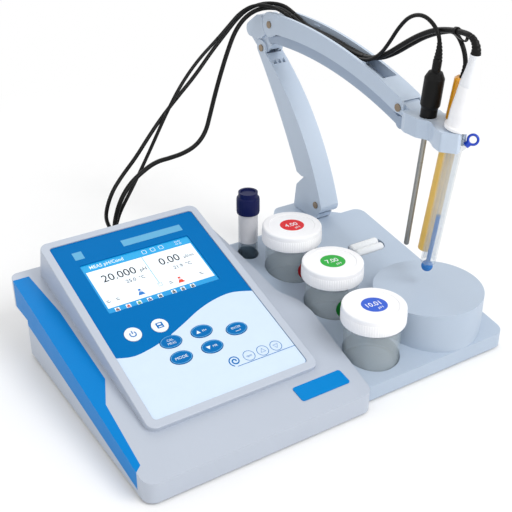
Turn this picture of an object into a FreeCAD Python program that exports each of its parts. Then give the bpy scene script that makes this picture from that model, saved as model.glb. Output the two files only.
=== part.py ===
import FreeCAD, Part
import math
import os

import Sketcher
from FreeCAD import Placement, Rotation, Vector

# Benchtop pH and conductivity meter: a sloped console with a raised display deck,
# an accessory tray with bottles, a magnetic stirrer and a double-parallelogram arm
# that holds three probes.
#
# Bench coordinates: X to the right along the console front, Y to the back, Z up,
# zero at the console's front left corner, at the underside of the shells.
# Every piece is then shifted so that the row's origin lies on the bench surface,
# at the middle of the outline.

DIMENSIONS = [
    # console
    ("console_width", 183.0), ("console_depth", 232.8), ("console_front_height", 15.8),
    ("slope_angle", 9.8), ("rear_inset", 31.8), ("rear_lip_underside", 31.0),
    ("shell_wall", 2.5), ("console_back_width", "=console_width - 6"), ("bulge_x", "=console_width + 10.4"),
    ("waist_x", "=console_width - 1"),
    ("edge_round", 3.0), ("corner_radius", 9.0), ("floor_plate", 2.2), ("fit_gap", 0.3),
    ("foot_height", 2.0), ("foot_radius", 6.0),
    # blue side trim
    ("trim_width", 13.0), ("trim_wide", 18.0), ("trim_front_width", 5.0),
    ("trim_thickness", 2.2), ("trim_front", 10.0), ("trim_low_front", 3.0), ("trim_low_back", 29.5),
    # display deck
    ("deck_tilt", 16.8), ("deck_x", 28.3), ("deck_y", 43.1), ("deck_rise", 4.0),
    ("overlay_width", 125.8), ("overlay_length", 179.2), ("overlay_thickness", 0.8),
    ("overlay_radius", 3.0), ("bezel_border", 6.5), ("bezel_lip", 0.8), ("bezel_wall", 3.0),
    ("bezel_plate", 2.2), ("bezel_radius", 7.0), ("bezel_depth", 40.0),
    ("screen_width", 95.0), ("screen_height", 54.0), ("screen_left", 14.0), ("screen_bottom", 99.6),
    ("screen_border", 4.0), ("board_depth", 9.0), ("board_thickness", 1.6), ("board_margin", 3.0),
    ("key_round", 13.0), ("key_oval_width", 17.0), ("key_oval_height", 11.6),
    ("key_travel", 0.4), ("key_proud", 0.35), ("key_stem_radius", 2.0),
    ("plate_width", 42.0), ("plate_height", 14.2), ("plate_thickness", 0.6),
    ("plate_x", "=console_width - 52.2"), ("plate_y", 15.6),
    # tray
    ("tray_front", 9.2), ("tray_right", "=console_width + 141"), ("tray_back", 197.5),
    ("tray_front_height", 12.6), ("tray_corner", 9.0), ("tray_gap", 0.4), ("arm_seat_level", 45.0),
    ("stirrer_x", "=console_width + 95"), ("stirrer_y", 53.0), ("stirrer_radius", 43.7),
    ("stirrer_top", 46.0),
    ("bottle_radius", 21.6), ("bottle_height", 51.0), ("bottle_wall", 1.4), ("cap_radius", 24.5),
    ("cap_height", 14.0), ("cap_wall", 1.5), ("well_gap", 0.5), ("well_wall", 1.6),
    ("red_x", "=console_width + 31.4"), ("red_y", 151.7), ("red_floor", 25.9),
    ("green_x", "=console_width + 34.6"), ("green_y", 99.5), ("green_floor", 15.6),
    ("blue_x", "=console_width + 28"), ("blue_y", 39.4), ("blue_floor", 9.0),
    ("vial_x", "=console_width + 8.5"), ("vial_y", 183.0), ("vial_floor", 25.0), ("vial_radius", 8.2),
    ("vial_height", 75.0), ("vial_cap_radius", 9.4), ("vial_cap_height", 18.8), ("vial_well", 9.0),
    ("recess_x", "=console_width + 108"), ("recess_y", 146.0), ("recess_length", 36.0),
    ("recess_width", 17.6), ("recess_depth", 5.0), ("stir_bar_radius", 3.9), ("stir_bar_length", 30.0),
    ("motor_radius", 14.0), ("motor_height", 24.0), ("motor_shaft", 1.5),
    ("carrier_length", 52.0), ("carrier_width", 15.0), ("carrier_height", 6.0),
    ("magnet_radius", 6.0), ("magnet_height", 2.5), ("plug_x", "=console_width + 77.5"), ("plug_y", 213.0),
    ("plug_radius", 7.5), ("plug_depth", 1.2), ("plug_rise", 0.2),
    # arm
    ("arm_x", "=console_width + 98.5"), ("arm_half", 9.5), ("arm_wall", 1.8), ("arm_gap", 0.3),
    ("ear_slot", 4.9),
    ("link_half", 4.5), ("screw_shank", 1.6), ("screw_head", 3.1), ("screw_head_rise", 0.9),
    ("pin_clearance", 0.05), ("pin_radius", 1.6),
    ("foot_pin_y", 197.0), ("foot_pin_z", 61.0), ("rear_pin_dy", 18.5), ("rear_pin_dz", 13.2),
    ("lower_dy", 90.0), ("lower_dz", 121.0), ("shoulder_y", "=foot_pin_y + lower_dy - 12.5"),
    ("shoulder_z", "=foot_pin_z + lower_dz + 23.8"),
    ("upper_dy", 176.0), ("upper_dz", 23.2), ("upper_pin_dy", 1.0), ("upper_pin_dz", 12.1),
    ("trough_half", 7.0), ("trough_depth", 7.5), ("trough_floor", 1.8),
    ("post_radius", 7.0), ("post_length", 20.0), ("swivel_y", 213.0),
    # electrode holder and probes
    ("holder_top", "=shoulder_z - upper_dz + 0.9"),
    ("holder_bottom", "=shoulder_z - upper_dz - 13.8"), ("probe_lean", 8.0), ("temp_lean", 5.5),
    ("temp_x", "=arm_x - 4.5"), ("temp_y", "=shoulder_y - upper_dy - 27"),
    ("cond_x", "=arm_x + 7.1"), ("cond_y", "=shoulder_y - upper_dy - 41.9"),
    ("ph_x", "=arm_x - 3.7"), ("ph_y", "=shoulder_y - upper_dy - 57.5"),
    ("seat_level", "=shoulder_z - upper_dz - 6.6"), ("seat_gap", 0.15),
    ("temp_handle_radius", 7.4), ("temp_collar_radius", 6.2), ("rod_radius", 2.1),
    ("cond_cap_radius", 6.8), ("cond_stem_radius", 6.0), ("ph_cap_radius", 9.0), ("ph_cap_top", 6.5),
    ("glass_radius", 6.0), ("bulb_radius", 4.6), ("nozzle_radius", 1.7),
    # cables
    ("ph_cable", 4.0), ("cond_cable", 3.4), ("temp_cable", 3.0),
]

doc = FreeCAD.newDocument("BenchMeter")
sheet = doc.addObject("Spreadsheet::Sheet", "Dims")
for row, (alias, value) in enumerate(DIMENSIONS, start=1):
    sheet.set(f"A{row}", alias)
    sheet.set(f"B{row}", str(value))
    sheet.setAlias(f"B{row}", alias)
doc.recompute()


class Sizes:
    """Reads a driving dimension from the sheet by its name."""

    def __getattr__(self, alias):
        return float(sheet.get(alias))


d = Sizes()
PARTS = []
SLOPE = math.tan(math.radians(d.slope_angle))


def top_z(y, drop=0.0):
    """Height of the console's sloped top at depth y."""
    return d.console_front_height + SLOPE * y - drop


def tray_z(y):
    """Height of the tray's sloped top at depth y; it is parallel to the console's."""
    return d.tray_front_height + SLOPE * (y - d.tray_front)


# Arm pins as (y, z) points. Each parallelogram has equal links by construction.
P1 = (d.foot_pin_y, d.foot_pin_z)
P2 = (P1[0] + d.rear_pin_dy, P1[1] + d.rear_pin_dz)
T1 = (P1[0] + d.lower_dy, P1[1] + d.lower_dz)
T2 = (P2[0] + d.lower_dy, P2[1] + d.lower_dz)
U1 = (d.shoulder_y, d.shoulder_z)
U2 = (U1[0] - d.upper_pin_dy, U1[1] - d.upper_pin_dz)
H1 = (U1[0] - d.upper_dy, U1[1] - d.upper_dz)
H2 = (U2[0] - d.upper_dy, U2[1] - d.upper_dz)

ELBOW_LOBE = 6.5
ORIGIN = Vector(d.tray_right / 2, (T2[0] + ELBOW_LOBE) / 2, -d.foot_height)


def publish(obj, label, at=(0, 0, 0), turn=None):
    """Names a finished piece and sets it in the row frame."""
    obj.Label = label
    obj.Placement = Placement(Vector(*at) - ORIGIN, turn or Rotation())
    PARTS.append((label, obj))
    return obj


# Outlines


def rounded(corners):
    """Closed outline of straight lines with tangent arcs; corners are (x, y, radius)."""
    count = len(corners)
    cut = []
    for i, (x, y, radius) in enumerate(corners):
        here = Vector(x, y, 0)
        before = Vector(*corners[i - 1][:2], 0) - here
        after = Vector(*corners[(i + 1) % count][:2], 0) - here
        half = before.getAngle(after) / 2
        back = radius / math.tan(half) if radius else 0.0
        start = here + before.normalize() * back
        end = here + after.normalize() * back
        bisector = (before + after).normalize() if radius else before
        centre = here + bisector * (radius / math.sin(half)) if radius else here
        middle = centre + (here - centre).normalize() * radius if radius else here
        cut.append((start, middle, end, radius))
    curves = []
    for i, (start, middle, end, radius) in enumerate(cut):
        if radius:
            curves.append(Part.Arc(start, middle, end))
        leave = end if radius else Vector(*corners[i][:2], 0)
        following = cut[(i + 1) % count]
        arrive = following[0] if following[3] else Vector(*corners[(i + 1) % count][:2], 0)
        if (arrive - leave).Length > 1e-6:
            curves.append(Part.LineSegment(leave, arrive))
    return curves


def inset(corners, distance):
    """The same outline moved inwards; corners run counter-clockwise."""
    moved = []
    count = len(corners)
    for i, (x, y, radius) in enumerate(corners):
        here = Vector(x, y, 0)
        into = (here - Vector(*corners[i - 1][:2], 0)).normalize()
        out = (Vector(*corners[(i + 1) % count][:2], 0) - here).normalize()
        left_in = Vector(-into.y, into.x, 0)
        left_out = Vector(-out.y, out.x, 0)
        shift = (left_in + left_out) * (distance / (1 + left_in.dot(left_out)))
        turn_left = into.cross(out).z > 0
        new_radius = radius - distance if turn_left else radius + distance
        moved.append((x + shift.x, y + shift.y, max(new_radius, 0.4) if radius else 0.0))
    return moved


def wrap(circles):
    """Belt round circles given counter-clockwise as (x, y, radius)."""
    normals = []
    count = len(circles)
    for i, (x, y, radius) in enumerate(circles):
        nx, ny, next_radius = circles[(i + 1) % count]
        run = Vector(nx - x, ny - y, 0)
        share = (radius - next_radius) / run.Length
        run.normalize()
        right = Vector(run.y, -run.x, 0)
        normals.append(run * share + right * math.sqrt(1 - share * share))
    curves = []
    for i, (x, y, radius) in enumerate(circles):
        centre = Vector(x, y, 0)
        first, last = normals[i - 1], normals[i]
        start_angle = math.atan2(first.y, first.x)
        sweep = (math.atan2(last.y, last.x) - start_angle) % (2 * math.pi)
        if radius > 0.01 and sweep > 1e-4:
            middle = Vector(math.cos(start_angle + sweep / 2), math.sin(start_angle + sweep / 2), 0)
            points = [centre + n * radius for n in (first, middle, last)]
            curves.append(Part.Arc(*points))
        nx, ny, next_radius = circles[(i + 1) % count]
        curves.append(Part.LineSegment(centre + last * radius, Vector(nx, ny, 0) + last * next_radius))
    return curves


def chain(*points):
    """Outline through (x, y) points; a point written (x, y, 'arc') is the middle of an arc."""
    curves = []
    i = 0
    count = len(points)
    while i < count:
        here = Vector(*points[i][:2], 0)
        following = points[(i + 1) % count]
        if len(following) == 3:
            end = points[(i + 2) % count]
            curves.append(Part.Arc(here, Vector(*following[:2], 0), Vector(*end[:2], 0)))
            i += 2
        else:
            curves.append(Part.LineSegment(here, Vector(*following, 0)))
            i += 1
    return curves


def ring(x, y, radius):
    """A full circle as an outline."""
    return [Part.Circle(Vector(x, y, 0), Vector(0, 0, 1), radius)]


def box_corners(x, y, width, height, radius):
    """Corners of an upright rectangle whose lower left corner is at (x, y)."""
    return [(x, y, radius), (x + width, y, radius),
            (x + width, y + height, radius), (x, y + height, radius)]


def oval(x, y, width, height):
    """An oval of four arcs round a centre, longer along the first axis."""
    a, b = width / 2, height / 2
    return [Part.ArcOfEllipse(Part.Ellipse(Vector(x, y, 0), a, b), s, s + math.pi)
            for s in (0.0, math.pi)]


class Piece:
    """A solid body built feature by feature from sketches on its own origin planes."""

    def __init__(self, label, at=(0, 0, 0), turn=None):
        self.label, self.at, self.turn = label, at, turn
        self.body = doc.addObject("PartDesign::Body", label)
        self.count = 0

    def _name(self, kind):
        self.count += 1
        return f"{self.label}_{kind}{self.count}"

    def sketch(self, plane, *outlines, offset=0.0, tilt=None):
        """A sketch on an origin plane, moved along the plane's normal by offset."""
        sketch = self.body.newObject("Sketcher::SketchObject", self._name("sketch"))
        role = {"XY": "XY_Plane", "XZ": "XZ_Plane", "YZ": "YZ_Plane"}[plane]
        origin = [o for o in self.body.Origin.OriginFeatures if o.Role == role][0]
        sketch.AttachmentSupport = [(origin, "")]
        sketch.MapMode = "FlatFace"
        sketch.AttachmentOffset = Placement(Vector(0, 0, offset), tilt or Rotation())
        for outline in outlines:
            for curve in outline:
                index = sketch.addGeometry(curve, False)
                if isinstance(curve, Part.Circle):
                    sketch.addConstraint(Sketcher.Constraint("Radius", index, curve.Radius))
        return sketch

    def _feature(self, kind, sketch, length, both, back):
        feature = self.body.newObject("PartDesign::" + kind, self._name(kind.lower()))
        feature.Profile = sketch
        if length is None:
            feature.Type = "ThroughAll"
        else:
            feature.setExpression("Length", length)
        if both:
            feature.SideType = "Symmetric"
        feature.Reversed = back
        self.body.Tip = feature
        return feature

    def pad(self, sketch, length, both=False, back=False):
        """Adds the sketch's area over a length; both means half to each side."""
        return self._feature("Pad", sketch, length, both, back)

    def pocket(self, sketch, length=None, both=False, back=False):
        """Cuts the sketch's area; the volume has to fall."""
        doc.recompute()
        before = self.body.Shape.Volume
        feature = self._feature("Pocket", sketch, length, both, back)
        doc.recompute()
        if self.body.Shape.Volume > before - 1e-3:
            raise ValueError(f"{feature.Name} cuts nothing")
        return feature

    def turned(self, sketch, kind="Revolution"):
        """Turns a half profile about the sketch's vertical axis."""
        feature = self.body.newObject("PartDesign::" + kind, self._name(kind.lower()))
        feature.Profile = sketch
        feature.ReferenceAxis = (sketch, ["V_Axis"])
        feature.Angle = 360.0
        self.body.Tip = feature
        return feature

    def soften(self, pick, radius, kind="Fillet"):
        """Rounds or bevels the edges that pick accepts."""
        doc.recompute()
        tip = self.body.Tip
        names = [f"Edge{i + 1}" for i, edge in enumerate(tip.Shape.Edges) if pick(edge)]
        if not names:
            raise ValueError(f"{self.label}: no edge to soften")
        feature = self.body.newObject("PartDesign::" + kind, self._name(kind.lower()))
        feature.Base = (tip, names)
        feature.setExpression("Radius" if kind == "Fillet" else "Size", radius)
        self.body.Tip = feature
        return feature

    def done(self):
        doc.recompute()
        return publish(self.body, self.label, self.at, self.turn)


def flat_at(z, tolerance=1e-3):
    """Picks edges that lie at one height."""
    return lambda e: e.BoundBox.ZMax - e.BoundBox.ZMin < tolerance and abs(e.BoundBox.ZMax - z) < tolerance


def upright(edge):
    """Picks straight edges along Z."""
    box = edge.BoundBox
    return box.XLength < 1e-3 and box.YLength < 1e-3 and box.ZLength > 1e-3


# Plain solids for boolean work, all in bench coordinates


def prism(name, plane, curves, start, length):
    """A sketch on a bench plane, extruded along the plane's normal by a sheet length."""
    sketch = doc.addObject("Sketcher::SketchObject", name + "_sketch")
    turns = {"XY": Rotation(), "YZ": Rotation(Vector(0, 1, 0), Vector(0, 0, 1), Vector(1, 0, 0))}
    normal = {"XY": Vector(0, 0, 1), "YZ": Vector(1, 0, 0)}[plane]
    sketch.Placement = Placement(normal * start, turns[plane])
    for curve in curves:
        sketch.addGeometry(curve, False)
    solid = doc.addObject("Part::Extrusion", name)
    solid.Base = sketch
    solid.DirMode = "Custom"
    solid.Dir = normal
    solid.Solid = True
    solid.setExpression("LengthFwd", length)
    return solid


def cylinder(name, x, y, z, radius, height):
    """An upright cylinder with its radius and height bound to the sheet."""
    solid = doc.addObject("Part::Cylinder", name)
    solid.setExpression("Radius", radius)
    solid.setExpression("Height", height)
    solid.Placement.Base = Vector(x, y, z)
    return solid


def combine(kind, name, *objects):
    """A boolean of two or more solids: Cut, MultiFuse or MultiCommon."""
    made = doc.addObject("Part::" + kind, name)
    if kind == "Cut":
        made.Base, made.Tool = objects
    else:
        made.Shapes = list(objects)
    return made


# Console


def console_corners():
    """Plan of the console, counter-clockwise from the front left corner."""
    return [
        (0, 0, d.corner_radius), (d.console_width - 1, 0, d.corner_radius),
        (d.bulge_x - 4, 62, 40), (d.bulge_x, 92, 16), (d.bulge_x - 1.4, 108, 14),
        (d.waist_x, 124, 16), (d.waist_x - 0.6, 160, 60),
        (d.console_back_width, d.console_depth, 6), (0, d.console_depth, 6),
    ]


def console_side(drop):
    """Side view of the console's outer walls, moved inwards by drop."""
    back = d.console_depth - drop
    wall = d.console_depth - d.rear_inset - drop
    low = -1.0 if drop else 0.0
    return chain(
        (drop - 0.0, low), (wall, low), (wall, d.rear_lip_underside + drop),
        (back, d.rear_lip_underside + drop), (back, top_z(back, drop)), (drop, top_z(drop, drop)))


def trim_solid(name, grow):
    """Blue corner strip along the left side: an angle section, wide at the back."""
    outline = chain(
        (-5, d.trim_front), (d.trim_front_width, d.trim_front + 8), (d.trim_front_width + 3, 75),
        (d.trim_wide, 97), (d.trim_wide, 175), (d.trim_width, 225), (-5, 225))
    plan = prism(name + "_plan", "XY", outline, -2, "Dims.console_depth")
    side = prism(name + "_side", "YZ", chain(
        (d.trim_front, d.trim_low_front), (225, d.trim_low_back), (225, top_z(225)),
        (d.trim_front, top_z(d.trim_front))), -6, "Dims.console_width")
    block = combine("MultiCommon", name + "_block", plan, side, console_outer)
    core_top = d.trim_thickness - grow
    core = prism(name + "_core", "YZ", chain(
        (-5, -5), (240, -5), (240, top_z(240, core_top)), (-5, top_z(-5, core_top))),
        d.trim_thickness - grow, "Dims.console_width")
    return combine("Cut", name, block, core)


plan = prism("console_plan", "XY", rounded(console_corners()), 0, "Dims.console_depth")
side = prism("console_profile", "YZ", console_side(0.0), -5, "Dims.console_width * 2")
console_outer = combine("MultiCommon", "console_outer", plan, side)
plan_in = prism("console_plan_in", "XY", rounded(inset(console_corners(), d.shell_wall)), -1,
                "Dims.console_depth")
side_in = prism("console_profile_in", "YZ", console_side(d.shell_wall), -5, "Dims.console_width * 2")
console_inner = combine("MultiCommon", "console_inner", plan_in, side_in)

deck_place = Placement(Vector(d.deck_x, d.deck_y, top_z(d.deck_y) + d.deck_rise),
                       Rotation(Vector(1, 0, 0), d.deck_tilt))


def on_deck(u, w, n=0.0):
    """Bench point of a place on the tilted deck."""
    return deck_place.multVec(Vector(u, w, n))


def deck_point(y, z):
    """Deck coordinates (w, n) of a bench point (y, z)."""
    local = deck_place.inverse().multVec(Vector(0, y, z))
    return local.y, local.z


def deck_box(name, u, w, width, length, low, high):
    """An upright block in deck coordinates, for cutting openings."""
    block = doc.addObject("Part::Box", name)
    block.Length, block.Width, block.Height = width, length, high - low
    block.Placement = deck_place.multiply(Placement(Vector(u, w, low), Rotation()))
    return block


deck_opening = deck_box("deck_opening", 0, 2, d.overlay_width, d.overlay_length - 4, -30, 30)
SOCKETS = [
    (78, "power_jack", 4.0), (90, "temp", 4.2), (104, "ph", 6.2), (120, "cond", 7.2), (138, "data", 4.5),
]
SOCKET_Z = 17.5
socket_holes = []
for x, socket_name, radius in SOCKETS:
    hole = doc.addObject("Part::Cylinder", "hole_" + socket_name)
    hole.Radius = radius + 0.1
    hole.Height = 20
    wall_y = d.console_depth - d.rear_inset
    hole.Placement = Placement(Vector(x, wall_y + 8, SOCKET_Z), Rotation(Vector(1, 0, 0), 90))
    socket_holes.append(hole)

trim_space = trim_solid("trim_space", 0.0)
console_cavity = combine("Cut", "console_cavity", console_inner, trim_solid("trim_backing", -d.shell_wall))
console_shell = combine("Cut", "console_shell", console_outer, console_cavity)
console_cuts = combine("MultiFuse", "console_cuts", trim_space, deck_opening, *socket_holes)
publish(combine("Cut", "console_cover_solid", console_shell, console_cuts), "console_cover")
publish(trim_solid("side_trim_solid", 0.0), "side_trim")

FLOOR_GAP = d.shell_wall + d.fit_gap


def inner_floor_corners():
    """Plan of the console's floor plate, which ends at the lower rear wall."""
    corners = inset(console_corners(), FLOOR_GAP)
    back = d.console_depth - d.rear_inset - FLOOR_GAP
    return corners[:-2] + [(d.console_back_width - 1, back, 3), (FLOOR_GAP, back, 3)]


floor = Piece("console_floor")
FOOT_SPOTS = [(x, y) for y in (18, d.console_depth - 49.8) for x in (18, d.console_width - 25)]
floor.pad(floor.sketch("XY", rounded(inner_floor_corners())), "Dims.floor_plate")
rib_y = (60, 140)
for y in rib_y:
    floor.pad(floor.sketch("XY", rounded(box_corners(20, y, 145, 2, 0)), offset=d.floor_plate), "4 mm")
vents = [rounded(box_corners(60 + 9 * i, 92, 3, 24, 1.4)) for i in range(6)]
floor.pocket(floor.sketch("XY", *vents), "Dims.floor_plate * 3", both=True)
floor.done()

# Display deck

bezel = Piece("display_bezel", at=tuple(deck_place.Base), turn=deck_place.Rotation)
margin = d.bezel_border
outer = box_corners(-margin, -margin, d.overlay_width + 2 * margin, d.overlay_length + 2 * margin,
                    d.bezel_radius)
bezel.pad(bezel.sketch("XY", rounded(outer), offset=d.bezel_lip), "Dims.bezel_depth", back=True)
front = deck_point(0, top_z(0))
rear = deck_point(d.console_depth + 20, top_z(d.console_depth + 20))
bezel.pocket(bezel.sketch("YZ", chain(front, (front[0], -90), (rear[0] + 20, -90), rear)),
             "Dims.console_width * 2", both=True)
inner = inset(outer, d.bezel_wall)
plate_low = -(d.overlay_thickness + d.bezel_plate)
bezel.pocket(bezel.sketch("XY", rounded(inner), offset=plate_low), "Dims.bezel_depth")
seat = box_corners(-d.fit_gap / 2, -d.fit_gap / 2, d.overlay_width + d.fit_gap,
                   d.overlay_length + d.fit_gap, d.overlay_radius)
bezel.pocket(bezel.sketch("XY", rounded(seat), offset=d.bezel_lip), "Dims.bezel_lip + Dims.overlay_thickness")
module = box_corners(d.screen_left - d.screen_border, d.screen_bottom - d.screen_border,
                     d.screen_width + 2 * d.screen_border, d.screen_height + 2 * d.screen_border, 1.0)
bezel.pocket(bezel.sketch("XY", rounded(inset(module, -d.fit_gap))), "Dims.bezel_depth")

ROUND_KEYS = {"key_power": (21.0, 74.5), "key_print": (42.8, 74.5)}
OVAL_KEYS = {"key_mode_select": (43.0, 57.3), "key_up": (68.5, 57.3), "key_enter": (94.0, 49.2),
             "key_down": (68.5, 41.2), "key_mode": (43.0, 41.2)}


def key_outline(name, u, w, grow):
    """Round keys are circles and the others ovals; grow widens them all round."""
    if name in ROUND_KEYS:
        return ring(u, w, d.key_round / 2 + grow)
    return oval(u, w, d.key_oval_width + 2 * grow, d.key_oval_height + 2 * grow)


ALL_KEYS = {**ROUND_KEYS, **OVAL_KEYS}
dish = [key_outline(name, u, w, d.fit_gap) for name, (u, w) in ALL_KEYS.items()]
bezel.pocket(bezel.sketch("XY", *dish, offset=-d.overlay_thickness), "Dims.key_travel * 2")
stems = [ring(u, w, d.key_stem_radius + d.fit_gap) for u, w in ALL_KEYS.values()]
bezel.pocket(bezel.sketch("XY", *stems), "Dims.bezel_depth")
POSTS = [(6, 6), (119, 6), (6, 88), (119, 88), (6, 172), (119, 172)]
post_length = d.board_depth + plate_low
posts = [ring(u, w, 3.0) for u, w in POSTS]
post_pad = bezel.pad(bezel.sketch("XY", *posts, offset=plate_low), f"{post_length} mm", back=True)
bezel.soften(lambda e: abs(e.CenterOfMass.z - d.bezel_lip) < 1e-3
             and (e.BoundBox.XMin < -margin + 0.1 or e.BoundBox.XMax > d.overlay_width + margin - 0.1
                  or e.BoundBox.YMin < -margin + 0.1 or e.BoundBox.YMax > d.overlay_length + margin - 0.1),
             "Dims.bezel_lip")
bezel.done()

overlay = Piece("front_overlay", at=tuple(deck_place.Base), turn=deck_place.Rotation)
sheet_outline = box_corners(0, 0, d.overlay_width, d.overlay_length, d.overlay_radius)
holes = [key_outline(name, u, w, d.fit_gap) for name, (u, w) in ALL_KEYS.items()]
window = rounded(box_corners(d.screen_left, d.screen_bottom, d.screen_width, d.screen_height, 1.0))
overlay.pad(overlay.sketch("XY", rounded(sheet_outline), window, *holes),
            "Dims.overlay_thickness", back=True)
overlay.done()

lcd = Piece("lcd_module", at=tuple(deck_place.Base), turn=deck_place.Rotation)
lcd_front = -(d.overlay_thickness + d.fit_gap)
lcd.pad(lcd.sketch("XY", rounded(module), offset=lcd_front),
        "Dims.board_depth - Dims.overlay_thickness - Dims.fit_gap", back=True)
lcd.done()

board = Piece("main_board", at=tuple(deck_place.Base), turn=deck_place.Rotation)
edge = d.board_margin
board.pad(board.sketch("XY", rounded(box_corners(edge, edge, d.overlay_width - 2 * edge,
                                                 d.overlay_length - 2 * edge, 2.0)),
                       offset=-d.board_depth), "Dims.board_thickness", back=True)
SWITCH_HEIGHT = 2.4
switches = [rounded(box_corners(u - 3, w - 3, 6, 6, 0)) for u, w in ALL_KEYS.values()]
board.pad(board.sketch("XY", *switches, offset=-d.board_depth), f"{SWITCH_HEIGHT} mm")
chips = [rounded(box_corners(u, w, s, s, 0)) for u, w, s in ((60, 20, 14), (84, 70, 10), (20, 20, 9))]
board.pad(board.sketch("XY", *chips, offset=-d.board_depth), "1.4 mm")
board.done()

for name, (u, w) in ALL_KEYS.items():
    key = Piece(name, at=tuple(deck_place.Base), turn=deck_place.Rotation)
    key.pad(key.sketch("XY", key_outline(name, u, w, 0.0), offset=d.key_proud),
            "Dims.key_proud + Dims.overlay_thickness", back=True)
    stem_length = d.board_depth - SWITCH_HEIGHT - d.overlay_thickness - d.key_travel - 0.05
    key.pad(key.sketch("XY", ring(u, w, d.key_stem_radius), offset=-d.overlay_thickness),
            f"{stem_length} mm", back=True)
    key.done()

label_turn = Rotation(Vector(1, 0, 0), d.slope_angle)
name_plate = Piece("name_plate", at=(d.plate_x, d.plate_y, top_z(d.plate_y)), turn=label_turn)
name_plate.pad(name_plate.sketch("XY", rounded(box_corners(0, 0, d.plate_width, d.plate_height, 2.0))),
               "Dims.plate_thickness")
name_plate.done()

# Rear sockets and cable plugs, in line on the lower rear wall

BACK_Y = d.console_depth - d.rear_inset
AWAY = Rotation(Vector(1, 0, 0), -90)


def lathe(label, profile, at, turn=None):
    """A turned piece from a half profile of (radius, height) points, or lists of curves."""
    piece = Piece(label, at=at, turn=turn)
    piece.turned(piece.sketch("XZ", profile))
    piece.done()
    return piece


sockets = doc.addObject("Part::Feature", "rear_sockets_solid")
solids = []
for x, socket_name, radius in SOCKETS:
    base = Vector(x, BACK_Y - d.shell_wall - 5, SOCKET_Z)
    along = Vector(0, 1, 0)
    flange = Part.makeCylinder(radius + 1.6, 1.0, Vector(x, BACK_Y, SOCKET_Z), along)
    barrel = Part.makeCylinder(radius, d.shell_wall + 5, base, along)
    bore = Part.makeCylinder(radius * 0.55, 6, Vector(x, BACK_Y - 5, SOCKET_Z), along)
    solids.append(barrel.fuse(flange).cut(bore).removeSplitter())
sockets.Shape = Part.makeCompound(solids)
publish(sockets, "rear_sockets")

PLUG_LENGTH = 27.0
for plug_label, x, radius in (("ph_plug", 104, 6.6), ("cond_plug", 120, 7.4), ("temp_plug", 90, 4.6)):
    lathe(plug_label, chain(
        (0, 0), (radius, 0), (radius, 11), (radius * 0.82, 12.5), (radius * 0.82, 17), (2.6, PLUG_LENGTH),
        (0, PLUG_LENGTH)), at=(x, BACK_Y + 1.0, SOCKET_Z), turn=AWAY)

# Tray


def tray_corners():
    """Plan of the tray, counter-clockwise; its left side follows the console's bulge."""
    gap = d.tray_gap
    return [
        (d.console_width + 1.6 + gap, d.tray_front, 2), (d.tray_right, d.tray_front, d.tray_corner),
        (d.tray_right - 0.5, d.tray_back, d.tray_corner), (d.arm_x + 20.5, d.tray_back, 3),
        (d.arm_x + 11.5, d.tray_back + 10.5, 6), (d.arm_x + 11.5, d.tray_back + 40.5, 9),
        (d.arm_x - 25.5, d.tray_back + 40.5, 9), (d.arm_x - 35.5, d.tray_back + 28.5, 8),
        (d.arm_x - 35.5, d.tray_back + 2.5, 4),
        (d.console_back_width + 2.4 + gap, d.tray_back + 2.5, 3), (d.waist_x - 0.6 + gap, 160, 60),
        (d.waist_x + gap, 124, 16 + gap), (d.bulge_x - 1.4 + gap, 108, 14),
        (d.bulge_x + gap, 92, 16), (d.bulge_x - 4 + gap, 62, 40),
    ]


BOTTLES = {"red": (d.red_x, d.red_y, d.red_floor), "green": (d.green_x, d.green_y, d.green_floor),
           "blue": (d.blue_x, d.blue_y, d.blue_floor)}


def tray_side(drop):
    """Side view of the tray's wedge, with its top lowered by drop."""
    low = -1.0 if drop else 0.0
    return chain((0, low), (245, low), (245, tray_z(245) - drop), (0, tray_z(0) - drop))


tray_plan = prism("tray_plan", "XY", rounded(tray_corners()), 0, "Dims.console_width")
tray_wedge = prism("tray_wedge", "YZ", tray_side(0.0), 150, "Dims.console_width")
seat_cut = prism("arm_seat_cut", "YZ", chain(
    (d.tray_back, d.arm_seat_level), (260, d.arm_seat_level), (260, 90), (d.tray_back, 90)),
    150, "Dims.console_width")
tray_block = combine("Cut", "tray_block", combine("MultiCommon", "tray_slab", tray_plan, tray_wedge),
                     seat_cut)
platform = cylinder("stirrer_platform", d.stirrer_x, d.stirrer_y, 1, "Dims.stirrer_radius",
                    "Dims.stirrer_top - 1")
tray_outer = combine("MultiFuse", "tray_outer", tray_block, platform)

cavity_plan = prism("tray_plan_in", "XY", rounded(inset(tray_corners(), d.shell_wall)), -1,
                    "Dims.console_width")
cavity_wedge = prism("tray_wedge_in", "YZ", tray_side(d.shell_wall), 150, "Dims.console_width")
cavity_seat = prism("arm_seat_in", "YZ", chain(
    (d.tray_back - d.shell_wall, d.arm_seat_level - d.shell_wall), (260, d.arm_seat_level - d.shell_wall),
    (260, 90), (d.tray_back - d.shell_wall, 90)), 150, "Dims.console_width")
cavity_slab = combine("Cut", "cavity_slab", combine("MultiCommon", "cavity_wedge", cavity_plan, cavity_wedge),
                      cavity_seat)
cavity_drum = cylinder("cavity_drum", d.stirrer_x, d.stirrer_y, -1, "Dims.stirrer_radius - Dims.shell_wall",
                       "Dims.stirrer_top - Dims.shell_wall + 1")
cups = []
wells = []
for colour, (x, y, z) in BOTTLES.items():
    cups.append(cylinder(f"cup_{colour}", x, y, z - d.well_wall,
                         "Dims.bottle_radius + Dims.well_gap + Dims.well_wall", "Dims.console_width"))
    wells.append(cylinder(f"well_{colour}", x, y, z, "Dims.bottle_radius + Dims.well_gap",
                          "Dims.console_width"))
cups.append(cylinder("cup_vial", d.vial_x, d.vial_y, d.vial_floor - d.well_wall,
                     "Dims.vial_well + Dims.well_wall", "Dims.console_width"))
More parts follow.
